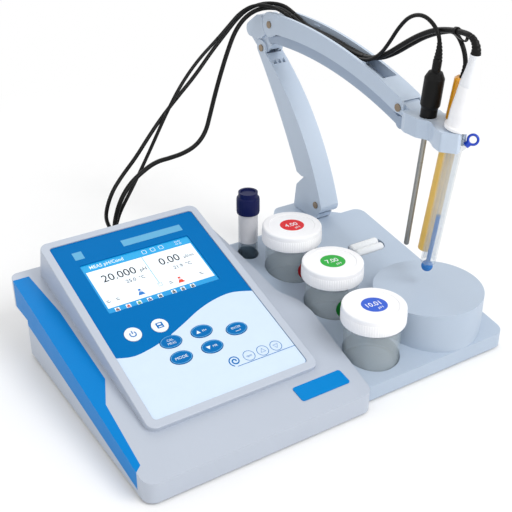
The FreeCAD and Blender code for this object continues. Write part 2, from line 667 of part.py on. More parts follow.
wells.append(cylinder("well_vial", d.vial_x, d.vial_y, d.vial_floor, "Dims.vial_well",
                      "Dims.console_width"))
slope_turn = Rotation(Vector(1, 0, 0), d.slope_angle)
recess_centre = Vector(d.recess_x, d.recess_y, tray_z(d.recess_y))


def capsule(name, grow, depth_low, depth_high):
    """The stir-bar recess or its outer wall, square to the sloped tray."""
    solid = doc.addObject("Part::Feature", name)
    length, width = d.recess_length + 2 * grow, d.recess_width + 2 * grow
    corner = width / 2 - 0.5
    curves = rounded(box_corners(-length / 2, -width / 2, length, width, corner))
    face = Part.Face(Part.Wire(Part.__sortEdges__([c.toShape() for c in curves])))
    face.translate(Vector(0, 0, depth_low))
    solid.Shape = face.extrude(Vector(0, 0, depth_high - depth_low))
    solid.Placement = Placement(recess_centre, slope_turn)
    return solid


cups.append(capsule("recess_wall", d.well_wall, -d.recess_depth - d.well_wall, -0.5))
wells.append(capsule("recess_space", 0.0, -d.recess_depth, 20))
bush = cylinder("swivel_bush", d.arm_x, d.swivel_y, d.arm_seat_level - 23, "Dims.post_radius + 3", "23 mm")
cups.append(bush)
bore = cylinder("swivel_bore", d.arm_x, d.swivel_y, d.arm_seat_level - 21,
                "Dims.post_radius + Dims.pin_clearance", "60 mm")
wells.append(bore)
wells.append(cylinder("plug_space", d.plug_x, d.plug_y, d.arm_seat_level - d.plug_depth,
                      "Dims.plug_radius + Dims.pin_clearance", "Dims.console_width"))
tray_cavity = combine("Cut", "tray_cavity", combine("MultiFuse", "cavity_all", cavity_slab, cavity_drum),
                      combine("MultiFuse", "cups_all", *cups))
tray_shell = combine("Cut", "tray_shell", tray_outer, tray_cavity)
publish(combine("Cut", "tray_cover_solid", tray_shell, combine("MultiFuse", "wells_all", *wells)),
        "tray_cover")

tray_floor = Piece("tray_floor")
tray_floor.pad(tray_floor.sketch("XY", rounded(inset(tray_corners(), FLOOR_GAP))), "Dims.floor_plate")
tray_floor.done()

feet = Piece("rubber_feet")
TRAY_FEET = [(d.tray_right - 18, 26), (d.tray_right - 18, d.tray_back - 15.5), (d.blue_x - 6, 70),
             (d.arm_x - 6.5, d.tray_back + 24.5)]
foot_rings = [ring(x, y, d.foot_radius) for x, y in FOOT_SPOTS + TRAY_FEET]
feet.pad(feet.sketch("XY", *foot_rings), "Dims.foot_height", back=True)
feet.done()

CASE_SCREWS = [(30, 100), (d.console_width - 13, 60), (90, 20), (90, BACK_Y - 16), (d.arm_x - 41.5, 24),
               (d.tray_right - 18, 110), (d.arm_x - 45.5, d.tray_back - 11.5)]
screws = Piece("case_screws")
screws.pad(screws.sketch("XY", *[ring(x, y, 2.8) for x, y in CASE_SCREWS]), "1 mm", back=True)
screws.done()

# Stirrer drive under the platform

motor = Piece("stirrer_motor", at=(d.stirrer_x, d.stirrer_y, d.floor_plate))
motor.pad(motor.sketch("XY", ring(0, 0, d.motor_radius)), "Dims.motor_height")
motor.pad(motor.sketch("XY", ring(0, 0, d.motor_radius + 3)), "2 mm")
shaft_top = 12.0
motor.pad(motor.sketch("XY", ring(0, 0, d.motor_shaft), offset=d.motor_height), f"{shaft_top} mm")
motor.done()

CARRIER_Z = d.floor_plate + d.motor_height + 4
carrier = Piece("magnet_carrier", at=(d.stirrer_x, d.stirrer_y, CARRIER_Z))
half_l, half_w = d.carrier_length / 2, d.carrier_width / 2
carrier.pad(carrier.sketch("XY", rounded(box_corners(-half_l, -half_w, 2 * half_l, 2 * half_w, half_w - 0.5)),
                           ring(0, 0, d.motor_shaft + d.pin_clearance)), "Dims.carrier_height")
MAGNET_REACH = half_l - half_w
carrier.pocket(carrier.sketch("XY", *[ring(s * MAGNET_REACH, 0, d.magnet_radius) for s in (-1, 1)],
                              offset=d.carrier_height), "Dims.magnet_height")
carrier.done()
magnets = Piece("drive_magnets", at=(d.stirrer_x, d.stirrer_y, CARRIER_Z + d.carrier_height))
magnets.pad(magnets.sketch("XY", *[ring(s * MAGNET_REACH, 0, d.magnet_radius - 0.05) for s in (-1, 1)]),
            "Dims.magnet_height", back=True)
magnets.done()

plug_top = d.plug_depth + d.plug_rise
lathe("foot_plug", chain(
    (0, 0), (d.plug_radius, 0), (d.plug_radius, d.plug_depth), (d.plug_radius - d.plug_rise, plug_top),
    (0, plug_top)), at=(d.plug_x, d.plug_y, d.arm_seat_level - d.plug_depth))

# Bottles, vial and stir bars

NECK_DROP = 2.0
for colour, (x, y, z) in BOTTLES.items():
    r, wall, height = d.bottle_radius, d.bottle_wall, d.bottle_height
    neck = r - 0.4
    shoulder = height - d.cap_height - 1
    rim = height - d.cap_wall - 0.3
    lathe(f"bottle_{colour}", chain(
        (0, 0), (r - 2.2, 0), (r - 0.65, 0.65, "arc"), (r, 2.2), (r, shoulder), (neck, shoulder + 1),
        (neck, rim), (neck - wall, rim), (neck - wall, shoulder), (r - wall, shoulder - 2),
        (r - wall, wall + 1.5), (r - wall - 1.5, wall), (0, wall)), at=(x, y, z))
    c, ch = d.cap_radius, d.cap_height
    inner_r = d.bottle_radius - 0.4 + 0.35
    cap = Piece(f"cap_{colour}", at=(x, y, z + height - ch))
    cap.turned(cap.sketch("XZ", chain(
        (inner_r, 0), (c - 0.4, 0), (c, 0.5), (c, ch - 1.6), (c - 0.5, ch - 0.5, "arc"), (c - 1.6, ch),
        (c - 5.5, ch), (c - 6.1, ch - 0.6), (0, ch - 0.6), (0, ch - d.cap_wall - 0.3),
        (inner_r, ch - d.cap_wall - 0.3))))
    cap.done()

r, height = d.vial_radius, d.vial_height
vial_rim = height - 1.6
lathe("vial_tube", chain(
    (0, 0), (r - 1.5, 0), (r, 2), (r, height - d.vial_cap_height - 0.5),
    (r - 0.6, height - d.vial_cap_height), (r - 0.6, vial_rim), (r - 1.7, vial_rim), (r - 1.7, 3),
    (0, 1.6)), at=(d.vial_x, d.vial_y, d.vial_floor))
c, ch = d.vial_cap_radius, d.vial_cap_height
lathe("vial_cap", chain(
    (r - 0.3, 0), (c, 0), (c, ch - 5), (c - 1.3, ch - 4), (c - 1.3, ch), (c - 3.0, ch), (c - 3.4, ch - 1.2),
    (0, ch - 1.2), (0, ch - 2.6), (r - 2.2, ch - 2.6), (r - 2.2, ch - 1.4 - 0.1), (r - 0.3, ch - 1.5)),
    at=(d.vial_x, d.vial_y, d.vial_floor + height - ch))

bar_r, bar_l = d.stir_bar_radius, d.stir_bar_length
LAY_X = Rotation(Vector(0, 1, 0), 90)
bar_rest = -d.recess_depth + bar_r + 0.05
for number, side_sign in (("1", -1), ("2", 1)):
    offset = slope_turn.multVec(Vector(-bar_l / 2, side_sign * (bar_r + 0.1), bar_rest))
    flat = 1.2
    nose = bar_r - flat
    lathe(f"stir_bar_{number}", chain(
        (0, 0), (flat, 0), (flat + nose * 0.707, nose * 0.293, "arc"), (bar_r, nose), (bar_r, bar_l - nose),
        (flat + nose * 0.707, bar_l - nose * 0.293, "arc"), (flat, bar_l), (0, bar_l)),
        at=tuple(recess_centre + offset), turn=LAY_X)

# Arm. All arm sketches lie in the plane of the arm, so the sketch axes are bench Y and Z.

ARM_AT = (d.arm_x, 0, 0)
INNER = d.arm_half - d.arm_wall
EAR = INNER - d.arm_gap
BORE = d.pin_radius + d.pin_clearance


def arm_piece(label):
    return Piece(label, at=ARM_AT)


def around(point, radius):
    return (point[0], point[1], radius)


base = arm_piece("arm_foot_bracket")
BASE_LOW = d.arm_seat_level + d.arm_gap
base.pad(base.sketch("YZ", wrap([
    (200.5, BASE_LOW + 3, 3.0), (230, BASE_LOW + 3, 3.0), (226.0, 66.5, 4.5), around(P2, 6.5),
    around(P1, 6.5)])), f"{2 * EAR} mm", both=True)
base.pocket(base.sketch("YZ", wrap([
    (212.5, 61.5, 2.0), (240, 61.5, 2.0), (240, 95, 2.0), (202, 95, 2.0), (206.5, 72.0, 2.0)])),
    "Dims.ear_slot * 2", both=True)
SWEEP = [(P1[0] + r * math.cos(math.radians(a)), P1[1] + r * math.sin(math.radians(a)))
         for r, a in ((5.0, 120), (5.0, 200), (5.0, 280), (9.2, 280), (9.2, 200), (9.2, 120))]
base.pocket(base.sketch("YZ", chain(
    SWEEP[0], (*SWEEP[1], "arc"), SWEEP[2], SWEEP[3], (*SWEEP[4], "arc"), SWEEP[5])), both=True)
base.pocket(base.sketch("YZ", ring(*P1, BORE)), both=True)
base.pad(base.sketch("YZ", ring(*P2, d.pin_radius)), f"{2 * EAR} mm", both=True)
base.pad(base.sketch("XY", ring(0, d.swivel_y, d.post_radius), offset=BASE_LOW + 1),
         "Dims.post_length", back=True)
base.done()

lower = arm_piece("lower_arm")
L1 = (P1[0] - 8.0, P1[1] + 1.0)
notch = 7.4
lower_outer = chain(
    (P1[0] - 8.2, P1[1] + 0.6), (P1[0] + 21, P1[1] + 56, "arc"), (T1[0] - 5.8, T1[1] - 3.0),
    (T1[0] - 1.3, T1[1] + 6.9, "arc"), (T1[0] + 6.4, T1[1] - 2.8), (P1[0] + 54.5, P1[1] + 61, "arc"),
    (P1[0] + 30.4, P1[1] + 21.6), (P2[0] + 3.6, P2[1] + notch - 0.9), (P2[0] - 6.6, P2[1] + 3.4, "arc"),
    (P2[0] - 4.4, P2[1] - 6.0), (P1[0] + 7.2, P1[1] - 4.0), (P1[0] - 1.8, P1[1] - 8.0, "arc"))
lower.pad(lower.sketch("YZ", lower_outer), "Dims.arm_half * 2", both=True)
lower_slot = chain(
    (P1[0] - 5.6, P1[1] - 20), (P1[0] - 5.6, P1[1] + 2.0), (P1[0] + 23.4, P1[1] + 55, "arc"),
    (T1[0] - 3.2, T1[1] - 5.4), (T1[0] - 8.0, T1[1] + 14), (T1[0] + 30, T1[1] + 14), (T1[0] + 10, P1[1] + 29),
    (P2[0] + 20, P1[1] - 20))
lower.pocket(lower.sketch("YZ", lower_slot), f"{2 * INNER} mm", both=True)
lower.pocket(lower.sketch("YZ", ring(*T1, 7.8)), f"{2 * INNER} mm", both=True)
SHANK = d.screw_shank + 0.02
lower.pocket(lower.sketch("YZ", ring(*P1, SHANK), ring(*T1, SHANK)), both=True)
slots = [rounded(box_corners(x, T1[0] - 17, 3.2, 4.0, 0.5)) for x in (-6.2, -1.6, 3.0)]
lower.pocket(lower.sketch("XY", *slots, offset=T1[1] - 32), "60 mm", back=True)
lower.done()


def pivot_screws(label, points):
    """Shoulder screws from both sides: heads outside the walls, shanks into the ears."""
    piece = Piece(label, at=ARM_AT)
    shank = d.arm_half - d.ear_slot - 0.5
    for side_sign in (-1, 1):
        for y, z in points:
            start = side_sign * (d.arm_half + d.screw_head_rise)
            piece.pad(piece.sketch("YZ", ring(y, z, d.screw_head), offset=start),
                      "Dims.screw_head_rise", back=side_sign > 0)
            piece.pad(piece.sketch("YZ", ring(y, z, d.screw_shank), offset=side_sign * d.arm_half),
                      f"{shank} mm", back=side_sign > 0)
    piece.done()


pivot_screws("lower_arm_screws", (P1, T1))

rear_link = arm_piece("rear_link")
rear_link.pad(rear_link.sketch(
    "YZ", wrap([around(P2, 4.6), around(T2, 4.6)]), ring(*P2, BORE), ring(*T2, BORE)),
    "Dims.link_half * 2", both=True)
rear_link.done()

elbow = arm_piece("elbow_bracket")
CROSSING = (U1[0] + 17.0, U1[1] - 2.8)
elbow.pad(elbow.sketch("YZ", wrap([
    around(T1, 6.0), around(T2, ELBOW_LOBE), (*CROSSING, 8.0), around(U1, 5.0), around(U2, 4.8)])),
    f"{2 * EAR} mm", both=True)
plate = wrap([(T1[0] + 4, T1[1] + 9.5, 3.0), around(T2, ELBOW_LOBE), (*CROSSING, 8.0),
              (T1[0] - 3, T1[1] + 15, 3.0)])
elbow.pad(elbow.sketch("YZ", plate), "Dims.arm_half * 2", both=True)
SHELL_LOBE = 11.0
for side_sign in (-1, 1):
    for centre, reach in ((U1, SHELL_LOBE + 0.4), (T1, 8.6)):
        elbow.pocket(elbow.sketch("YZ", ring(*centre, reach), offset=side_sign * (d.arm_half + 1)),
                     f"{d.arm_half + 1 - EAR} mm", back=side_sign < 0)
    for cut in (ring(*U2, 5.4), rounded([
            (U2[0] - 14, U2[1] - 3.7, 0.5), (U2[0], U2[1] - 3.7, 0.5), (U2[0] + 0.9, U2[1] + 4.9, 0.5),
            (U2[0] - 4.1, U2[1] + 11.6, 0.5), (U2[0] - 14, U2[1] + 16, 0.5)])):
        elbow.pocket(elbow.sketch("YZ", cut, offset=side_sign * (d.arm_half + 1)),
                     f"{d.arm_half + 1 - d.ear_slot} mm", back=side_sign < 0)
elbow.pocket(elbow.sketch("YZ", rounded([
    (T1[0] - 12, T1[1] - 10, 1.0), (T1[0] + 31, T1[1] - 10, 1.0), (T1[0] + 31, T1[1] + 18.6, 1.0),
    (T1[0] + 15.5, T1[1] + 18.6, 1.0), (T1[0] + 2.6, T1[1] + 7.2, 1.0), (T1[0] - 6, T1[1] + 7, 1.0)])),
    "Dims.ear_slot * 2", both=True)
FLOOR_SWEEP = [(U1[0] + r * math.cos(math.radians(a)), U1[1] + r * math.sin(math.radians(a)))
               for r, a in ((6.4, 96), (6.4, 66), (6.4, 36), (16, 36))]
elbow.pocket(elbow.sketch("YZ", chain(
    FLOOR_SWEEP[0], (*FLOOR_SWEEP[1], "arc"), FLOOR_SWEEP[2], FLOOR_SWEEP[3],
    (FLOOR_SWEEP[0][0], FLOOR_SWEEP[3][1]))), both=True)
elbow.pocket(elbow.sketch("YZ", ring(*T1, BORE), ring(*U1, BORE), ring(*U2, BORE)), both=True)
elbow.pad(elbow.sketch("YZ", ring(*T2, d.pin_radius)), f"{2 * EAR} mm", both=True)
elbow.done()

# Upper arm: an arched shell with a cable trough along its top

shell = arm_piece("upper_arm_shell")
ROOT_TOP = (U1[0] + 1.0, U1[1] + SHELL_LOBE - 0.05)
CROWN = (U1[0] - 84.5, U1[1] + 7.6)
END_TOP = (H1[0] + 1.0, H1[1] + 9.0)
SEAM_CROWN = (U1[0] - 86.5, U1[1] - 7.5)
shell_outer = chain(
    ROOT_TOP, (*CROWN, "arc"), END_TOP, (H1[0] - 5.5, H1[1] + 2.5, "arc"), (H1[0] - 4.0, H1[1] - 4.6),
    (H1[0] + 3.0, H1[1] - 4.5), (*SEAM_CROWN, "arc"), (U1[0] - 11.0, U1[1] - 6.6),
    (U1[0] - 2.0, U1[1] - 10.8), (U1[0] + SHELL_LOBE * 0.83, U1[1] - SHELL_LOBE * 0.56, "arc"))
shell.pad(shell.sketch("YZ", shell_outer), "Dims.arm_half * 2", both=True)
under = chain(
    (H1[0] - 12, H1[1] - 20), (H1[0] - 12, H1[1] + 6.2), (H1[0] + 9.5, H1[1] + 5.6),
    (H1[0] + 12, H1[1] + 0.2),
    (U1[0] - 86.5, U1[1] - 1.5, "arc"), (U1[0] - 14, U1[1] + 0.2), (U1[0] - 11, U1[1] + 6.8),
    (U1[0] + 0.5, U1[1] + 6.8), (U1[0] + 0.5, U1[1] + 30), (U1[0] + 30, U1[1] + 30), (U1[0] + 30, U1[1] - 30))
shell.pocket(shell.sketch("YZ", under), f"{2 * INNER} mm", both=True)
trough = chain(
    (U1[0] + 30, U1[1] + 30), (U1[0] + 30, U1[1] + 8.6), (U1[0] - 12, U1[1] + 8.4), (U1[0] - 26, U1[1] + 1.6),
    (U1[0] - 84.5, U1[1] + 0.1, "arc"), (H1[0] + 24, H1[1] + 5.4), (H1[0] + 20, H1[1] + 40))
shell.pocket(shell.sketch("YZ", trough), "Dims.trough_half * 2", both=True)
shell.pocket(shell.sketch("YZ", ring(*U1, SHANK), ring(*H1, SHANK)), both=True)
CLIPS = [(U1[0] - 48.5, U1[1] + 9.2), (U1[0] - 127.5, U1[1] + 0.4)]
for y, z in CLIPS:
    for side_sign in (-1, 1):
        shell.pad(shell.sketch("YZ", rounded(box_corners(y - 4, z - 2.4, 8, 1.6, 0.6)),
                               offset=side_sign * (d.trough_half + 0.5)), "1.3 mm", back=side_sign > 0)
shell.done()
pivot_screws("upper_arm_screws", (U1, H1))

link = arm_piece("upper_link")
link_outer = chain(
    (H2[0] + 2.6, H2[1] + 4.3), (U1[0] - 86.5, U1[1] - 5.2, "arc"), (U2[0] - 4.0, U2[1] + 3.0),
    (U2[0] + 4.8, U2[1] - 1.5, "arc"), (U2[0] - 3.0, U2[1] - 4.0), (U1[0] - 84.5, U1[1] - 17.2, "arc"),
    (H2[0] + 4.6, H2[1] - 2.0), (H2[0] - 4.9, H2[1] - 1.0, "arc"))
link.pad(link.sketch("YZ", link_outer), f"{2 * EAR} mm", both=True)
for (y, z), direction in ((H2, 1), (U2, -1)):
    reach = 15.0
    left = y - 8 if direction > 0 else y - reach
    link.pocket(link.sketch("YZ", rounded(box_corners(left, z - 20, 8 + reach, 40, 0))),
                "Dims.ear_slot * 2 + 0.6", both=True)
link.pad(link.sketch("YZ", ring(*H2, d.pin_radius), ring(*U2, d.pin_radius)), f"{2 * EAR} mm", both=True)
link.done()

# Electrode holder with three leaning seats

holder = arm_piece("electrode_holder")
TOP, LOW = d.holder_top, d.holder_bottom


PLAN_FROM_PIN = [
    (-12.9, -8.5, 1.5), (-15, -14.5, 3), (-15, -27.5, 2), (-10.3, -37, 8), (-16.9, -48.5, 3),
    (-19.3, -57.5, 2.5), (-11.2, -67.5, 1.5), (-6.2, -65, 1),
    (d.ph_x - d.arm_x, d.ph_y - H1[0] + 0.5, 0.5), (5.3, -58.9, 1), (9, -51.5, 3), (16.5, -48, 4),
    (16.5, -35.5, 5), (8, -30, 5), (11.5, -24.5, 4), (11.5, -8.5, 2)]
plan_view = [(x, H1[0] + y, r) for x, y, r in PLAN_FROM_PIN]
holder.pad(holder.sketch("XY", rounded(plan_view), offset=LOW), "Dims.holder_top - Dims.holder_bottom")
holder.pad(holder.sketch("YZ", wrap([
    (H1[0] - 10.5, LOW + 2.0, 2.0), around(H2, 4.8), around(H1, 5.6), (H1[0] - 10.5, TOP - 2.0, 2.0)])),
    f"{2 * EAR} mm", both=True)
for side_sign in (-1, 1):
    holder.pocket(holder.sketch("YZ", wrap([
        around(H2, 5.7), (H2[0] - 1, H2[1] - 12, 5.7), (H2[0] + 8, H2[1] - 12, 5.7),
        (H2[0] + 8, H2[1] + 2.2, 5.7)]),
        offset=side_sign * (d.arm_half + 8)), f"{d.arm_half + 8 - d.ear_slot} mm", back=side_sign < 0)
holder.pocket(holder.sketch("YZ", ring(*H1, BORE), ring(*H2, BORE)), both=True)

SEATS = {"temp": (d.temp_x, d.temp_y, d.temp_collar_radius, d.temp_lean),
         "cond": (d.cond_x, d.cond_y, d.cond_stem_radius, d.probe_lean),
         "ph": (d.ph_x, d.ph_y, d.glass_radius, d.probe_lean)}


def lean(name):
    """The forward lean of a probe's seat."""
    return Rotation(Vector(1, 0, 0), SEATS[name][3])


def probe_at(name, height, right=0.0):
    """Bench point near a probe's leaning axis, height mm up from the seat level."""
    x, y = SEATS[name][:2]
    aside = Vector(0.842, -0.539, 0) * right
    return tuple(Vector(x, y, d.seat_level) + aside + lean(name).multVec(Vector(0, 0, height)))


holder.done()
seat_cutters = []
for name, (x, y, radius, _) in SEATS.items():
    cutter = doc.addObject("Part::Cylinder", "seat_" + name)
    cutter.Radius = radius + d.seat_gap
    cutter.Height = 60
    cutter.Placement = Placement(Vector(*probe_at(name, -30)) - ORIGIN, lean(name))
    seat_cutters.append(cutter)
PARTS.pop()
holder_solid = combine("Cut", "holder_with_seats", holder.body,
                       combine("MultiFuse", "seat_cutters", *seat_cutters))
holder.body.Label = "holder_blank"
holder_solid.Label = "electrode_holder"
PARTS.append(("electrode_holder", holder_solid))

PH_TIP_Z = d.seat_level - 116.6
COND_TIP_Z, TEMP_TIP_Z = d.seat_level - 106.0, d.seat_level - 104.0
cos_lean = math.cos(math.radians(d.probe_lean))
top_face = (TOP - d.seat_level) / cos_lean


def down_to(name, z):
    """Distance along a probe's axis from the seat level down to a height."""
    return (d.seat_level - z) / math.cos(math.radians(SEATS[name][3]))


def probe_piece(label, name, profile):
    """A turned piece on a probe's axis; profile heights count from the seat level."""
    lathe(label, profile, at=probe_at(name, 0), turn=lean(name))


# Temperature probe: rubber handle over a steel rod
collar_r, handle_r = d.temp_collar_radius, d.temp_handle_radius
TEMP_BASE = top_face + 1.4
TEMP_TOP = TEMP_BASE + 43.5
probe_piece("temp_probe_handle", "temp", chain(
    (0, -6), (collar_r, -6), (collar_r, TEMP_BASE + 3), (handle_r - 1.2, TEMP_BASE + 5.5),
    (handle_r, TEMP_BASE + 8), (handle_r, TEMP_BASE + 28.5), (handle_r - 2.2, TEMP_BASE + 33),
    (3.3, TEMP_BASE + 34), (3.3, TEMP_BASE + 42), (2.4, TEMP_TOP), (0, TEMP_TOP)))
rod_length, rod_r = down_to("temp", TEMP_TIP_Z), d.rod_radius
probe_piece("temp_probe_rod", "temp", chain(
    (0, -rod_length), (0.5, -rod_length),
    (0.5 + (rod_r - 0.5) * 0.707, -rod_length + (rod_r - 0.5) * 0.293, "arc"),
    (rod_r, -rod_length + rod_r - 0.5), (rod_r, -6), (0, -6)))

# Conductivity electrode: moulded cap over a resin stem
cap_r, stem_r = d.cond_cap_radius, d.cond_stem_radius
COND_BASE = top_face + 0.95
COND_TOP = COND_BASE + 32.0
probe_piece("cond_electrode_cap", "cond", chain(
    (0, COND_BASE), (cap_r, COND_BASE), (cap_r - 0.3, COND_TOP - 1.2), (cap_r - 1.5, COND_TOP),
    (0, COND_TOP)))
stem_length = down_to("cond", COND_TIP_Z)
probe_piece("cond_electrode_stem", "cond", chain(
    (0, -stem_length + 14), (stem_r - 1.6, -stem_length + 14), (stem_r - 1.6, -stem_length),
    (stem_r, -stem_length), (stem_r, COND_BASE), (0, COND_BASE)))

# pH electrode: boot, cap with a foot flange, clear body with a side nozzle, inner tube with a bulb
cap_r, cap_top_r, glass_r = d.ph_cap_radius, d.ph_cap_top, d.glass_radius
PH_BASE = top_face + 1.35
PH_CAP_TOP = PH_BASE + 32.5
PH_TOP = PH_BASE + 55.0
probe_piece("ph_electrode_cap", "ph", chain(
    (0, PH_BASE), (cap_r + 1.6, PH_BASE), (cap_r + 1.6, PH_BASE + 2.0), (cap_r, PH_BASE + 2.6),
    (cap_r - 0.2, PH_BASE + 12), (cap_top_r, PH_CAP_TOP), (0, PH_CAP_TOP)))
probe_piece("ph_electrode_boot", "ph", chain(
    (0, PH_CAP_TOP), (cap_top_r, PH_CAP_TOP), (cap_top_r, PH_CAP_TOP + 1.5), (4.6, PH_CAP_TOP + 11),
    (3.7, PH_CAP_TOP + 19), (3.7, PH_TOP), (0, PH_TOP)))
tip_length = down_to("ph", PH_TIP_Z)
SLEEVE_END = -tip_length + 9
TUBE_RADIUS = 1.7
neck_z = -tip_length + d.bulb_radius + math.sqrt(d.bulb_radius ** 2 - TUBE_RADIUS ** 2)
bulb_flat = 0.8
bulb_drop = d.bulb_radius - math.sqrt(d.bulb_radius ** 2 - bulb_flat ** 2)
probe_piece("ph_inner_tube", "ph", chain(
    (0, -tip_length + bulb_drop), (bulb_flat, -tip_length + bulb_drop),
    (d.bulb_radius, -tip_length + d.bulb_radius, "arc"), (TUBE_RADIUS, neck_z), (TUBE_RADIUS, PH_BASE - 3),
    (0, PH_BASE - 3)))
glass = Piece("ph_electrode_glass")
glass.turned(glass.sketch("XZ", chain(
    (glass_r - 1.2, SLEEVE_END), (glass_r, SLEEVE_END), (glass_r, PH_BASE), (0, PH_BASE), (0, PH_BASE - 3),
    (glass_r - 1.2, PH_BASE - 3))))
doc.recompute()
glass.body.Placement = Placement(Vector(*probe_at("ph", 0)) - ORIGIN, lean("ph"))

nozzle_from, nozzle_to = Vector(*probe_at("ph", -9.5, 4.9)), Vector(*probe_at("ph", -6.0, 8.0))
NOZZLE_RUN = nozzle_to - nozzle_from
nozzle = doc.addObject("Part::Cylinder", "nozzle")
nozzle.setExpression("Radius", "Dims.nozzle_radius")
nozzle.Height = NOZZLE_RUN.Length
nozzle.Placement = Placement(nozzle_from - ORIGIN, Rotation(Vector(0, 0, 1), NOZZLE_RUN))
body_with_nozzle = combine("MultiFuse", "ph_electrode_body_solid", glass.body, nozzle)
body_with_nozzle.Label = "ph_electrode_body"
PARTS.append(("ph_electrode_body", body_with_nozzle))

STOPPER_LOOP, STOPPER_WIRE = 3.6, 0.95
stopper = doc.addObject("Part::Feature", "filler_stopper_solid")
plug_length = 3.0
stopper_plug = Part.makeCylinder(d.nozzle_radius + 0.7, plug_length)
stopper_loop = Part.makeTorus(
    STOPPER_LOOP, STOPPER_WIRE, Vector(0, 0, plug_length + STOPPER_LOOP), Vector(0, 1, 0))
stopper.Shape = stopper_plug.fuse(stopper_loop)
publish(stopper, "filler_stopper", at=tuple(nozzle_to), turn=Rotation(
    Vector(0, 0, 0), Vector(-0.471, -0.737, 0.485), NOZZLE_RUN, "ZYX"))

# Cables: straight runs joined by tangent arcs, each as large as its runs allow

PH_LANE, COND_LANE, TEMP_LANE = 281.5, 286.0, 277.4
END_Y = BACK_Y + 1.0 + PLUG_LENGTH
def near_arm(points):
    """Route points counted from the shoulder pin: to the right, back and up."""
    return [(d.arm_x + x, U1[0] + y, U1[1] + z) for x, y, z in points]


ROUTES = {
    "ph_cable": [
        (104, END_Y, SOCKET_Z), (104, 244, SOCKET_Z), (103.6, 256, 24), (102.2, 258, 39),
        (100, 252.5, 56), (99.5, 247, 72), (105, 246.5, 88), (117, 251, 99), (131, 254, 106),
        (146, 258, 110), (161, 261, 109), (177, 265, 108.5), (192, 268, 112), (203, 271, 121),
        (210, 275, 134), (217, 278, 150), (225.4, 281, 168), (235, 284.5, 186),
        *near_arm([
            (-36.5, 13.5, -4.3), (-24.5, 14.5, 6.7), (-12, 10.5, 13), (-1.2, -3, 14.5),
            (0, -20.5, 11.2), (0, -31.5, 7.4), (0, -42.5, 5.4), (0, -58.5, 5), (0, -80.5, 3.5),
            (0, -102.5, 0.4), (0, -121.5, -0.3), (0, -137.5, 3.7), (-0.2, -152.5, 12.2),
            (-0.4, -167.5, 22.7), (-0.5, -182.5, 32.2), (-0.6, -198.5, 39.7), (-0.7, -213.5, 43.2),
            (-1.9, -227, 44.6), (-3.3, -236.9, 44.6), (-3.7, -243, 38.5)]),
        (d.ph_x + 0.2, d.ph_y - 5.4, d.seat_level + 64.5)],
    "cond_cable": [
        (120, END_Y, SOCKET_Z), (120, 244, SOCKET_Z), (118.4, 258, 24), (111, 266, 38),
        (102, 263, 54), (95, 256, 69), (93.5, 249, 83), (101, 252, 95.5), (113, 258, 104),
        (129, 261, 117), (143, 265, 130), (158, 271, 141), (176, 276, 154), (199, 281, 170),
        (220, 287, 187),
        *near_arm([
            (-44.5, 16.5, -6.3), (-31.5, 20.5, 2.7), (-18.5, 21.5, 10.7), (-6, 13.5, 16.2),
            (3.5, -2, 16.5), (4.2, -19.5, 11.8), (4.2, -31.5, 7.2), (4.2, -42.5, 5),
            (4.2, -58.5, 4.7), (4.2, -80.5, 3.2), (4.2, -102.5, 0.1), (4.3, -120.5, -1),
            (4.7, -136.5, 2.2), (5.1, -152.5, 10.2), (5.5, -168.5, 21.2), (5.9, -183.5, 30.7),
            (6.3, -198.5, 37.2), (6.8, -212.5, 41.2), (7, -223.5, 37.2)]),
        (d.cond_x - 0.1, d.cond_y - 7.6, d.seat_level + 54)],
    "temp_cable": [
        (90, END_Y, SOCKET_Z), (90, 242, SOCKET_Z), (91, 254, 23), (96, 261.5, 37),
        (101.5, 257.5, 53), (103.5, 252.5, 66), (106, 249.5, 77), (113, 250, 87), (125, 256, 98),
        (143, 262, 120), (163, 268, 147), (181, 274, 167), (202, 280, 184),
        *near_arm([
            (-56.5, 11.5, -8.8), (-41.5, 15.5, 0.7), (-29.5, 17, 9.7), (-17.5, 13.5, 15.7),
            (-9, 0.5, 16.7), (-4.1, -17.5, 13.2), (-4.1, -29.5, 7.8), (-4.1, -41.5, 5.2),
            (-4.1, -57.5, 4.6), (-4.1, -79.5, 3), (-4.1, -101.5, 0), (-4.1, -119.5, -1.4),
            (-4.1, -134.5, 1.7), (-4.3, -146.5, 10.2), (-4.6, -155.5, 21.2), (-4.8, -164.5, 34.2),
            (-4.8, -175.5, 45.2), (-4.8, -189.5, 49.2), (-4.8, -202.5, 44.2), (-4.8, -208.9, 34.2)]),
        (d.temp_x - 0.1, d.temp_y - 6, d.seat_level + 52)],
}
PROBE_ENTRIES = {
    "ph_cable": ("ph", PH_TOP), "cond_cable": ("cond", COND_TOP), "temp_cable": ("temp", TEMP_TOP),
}


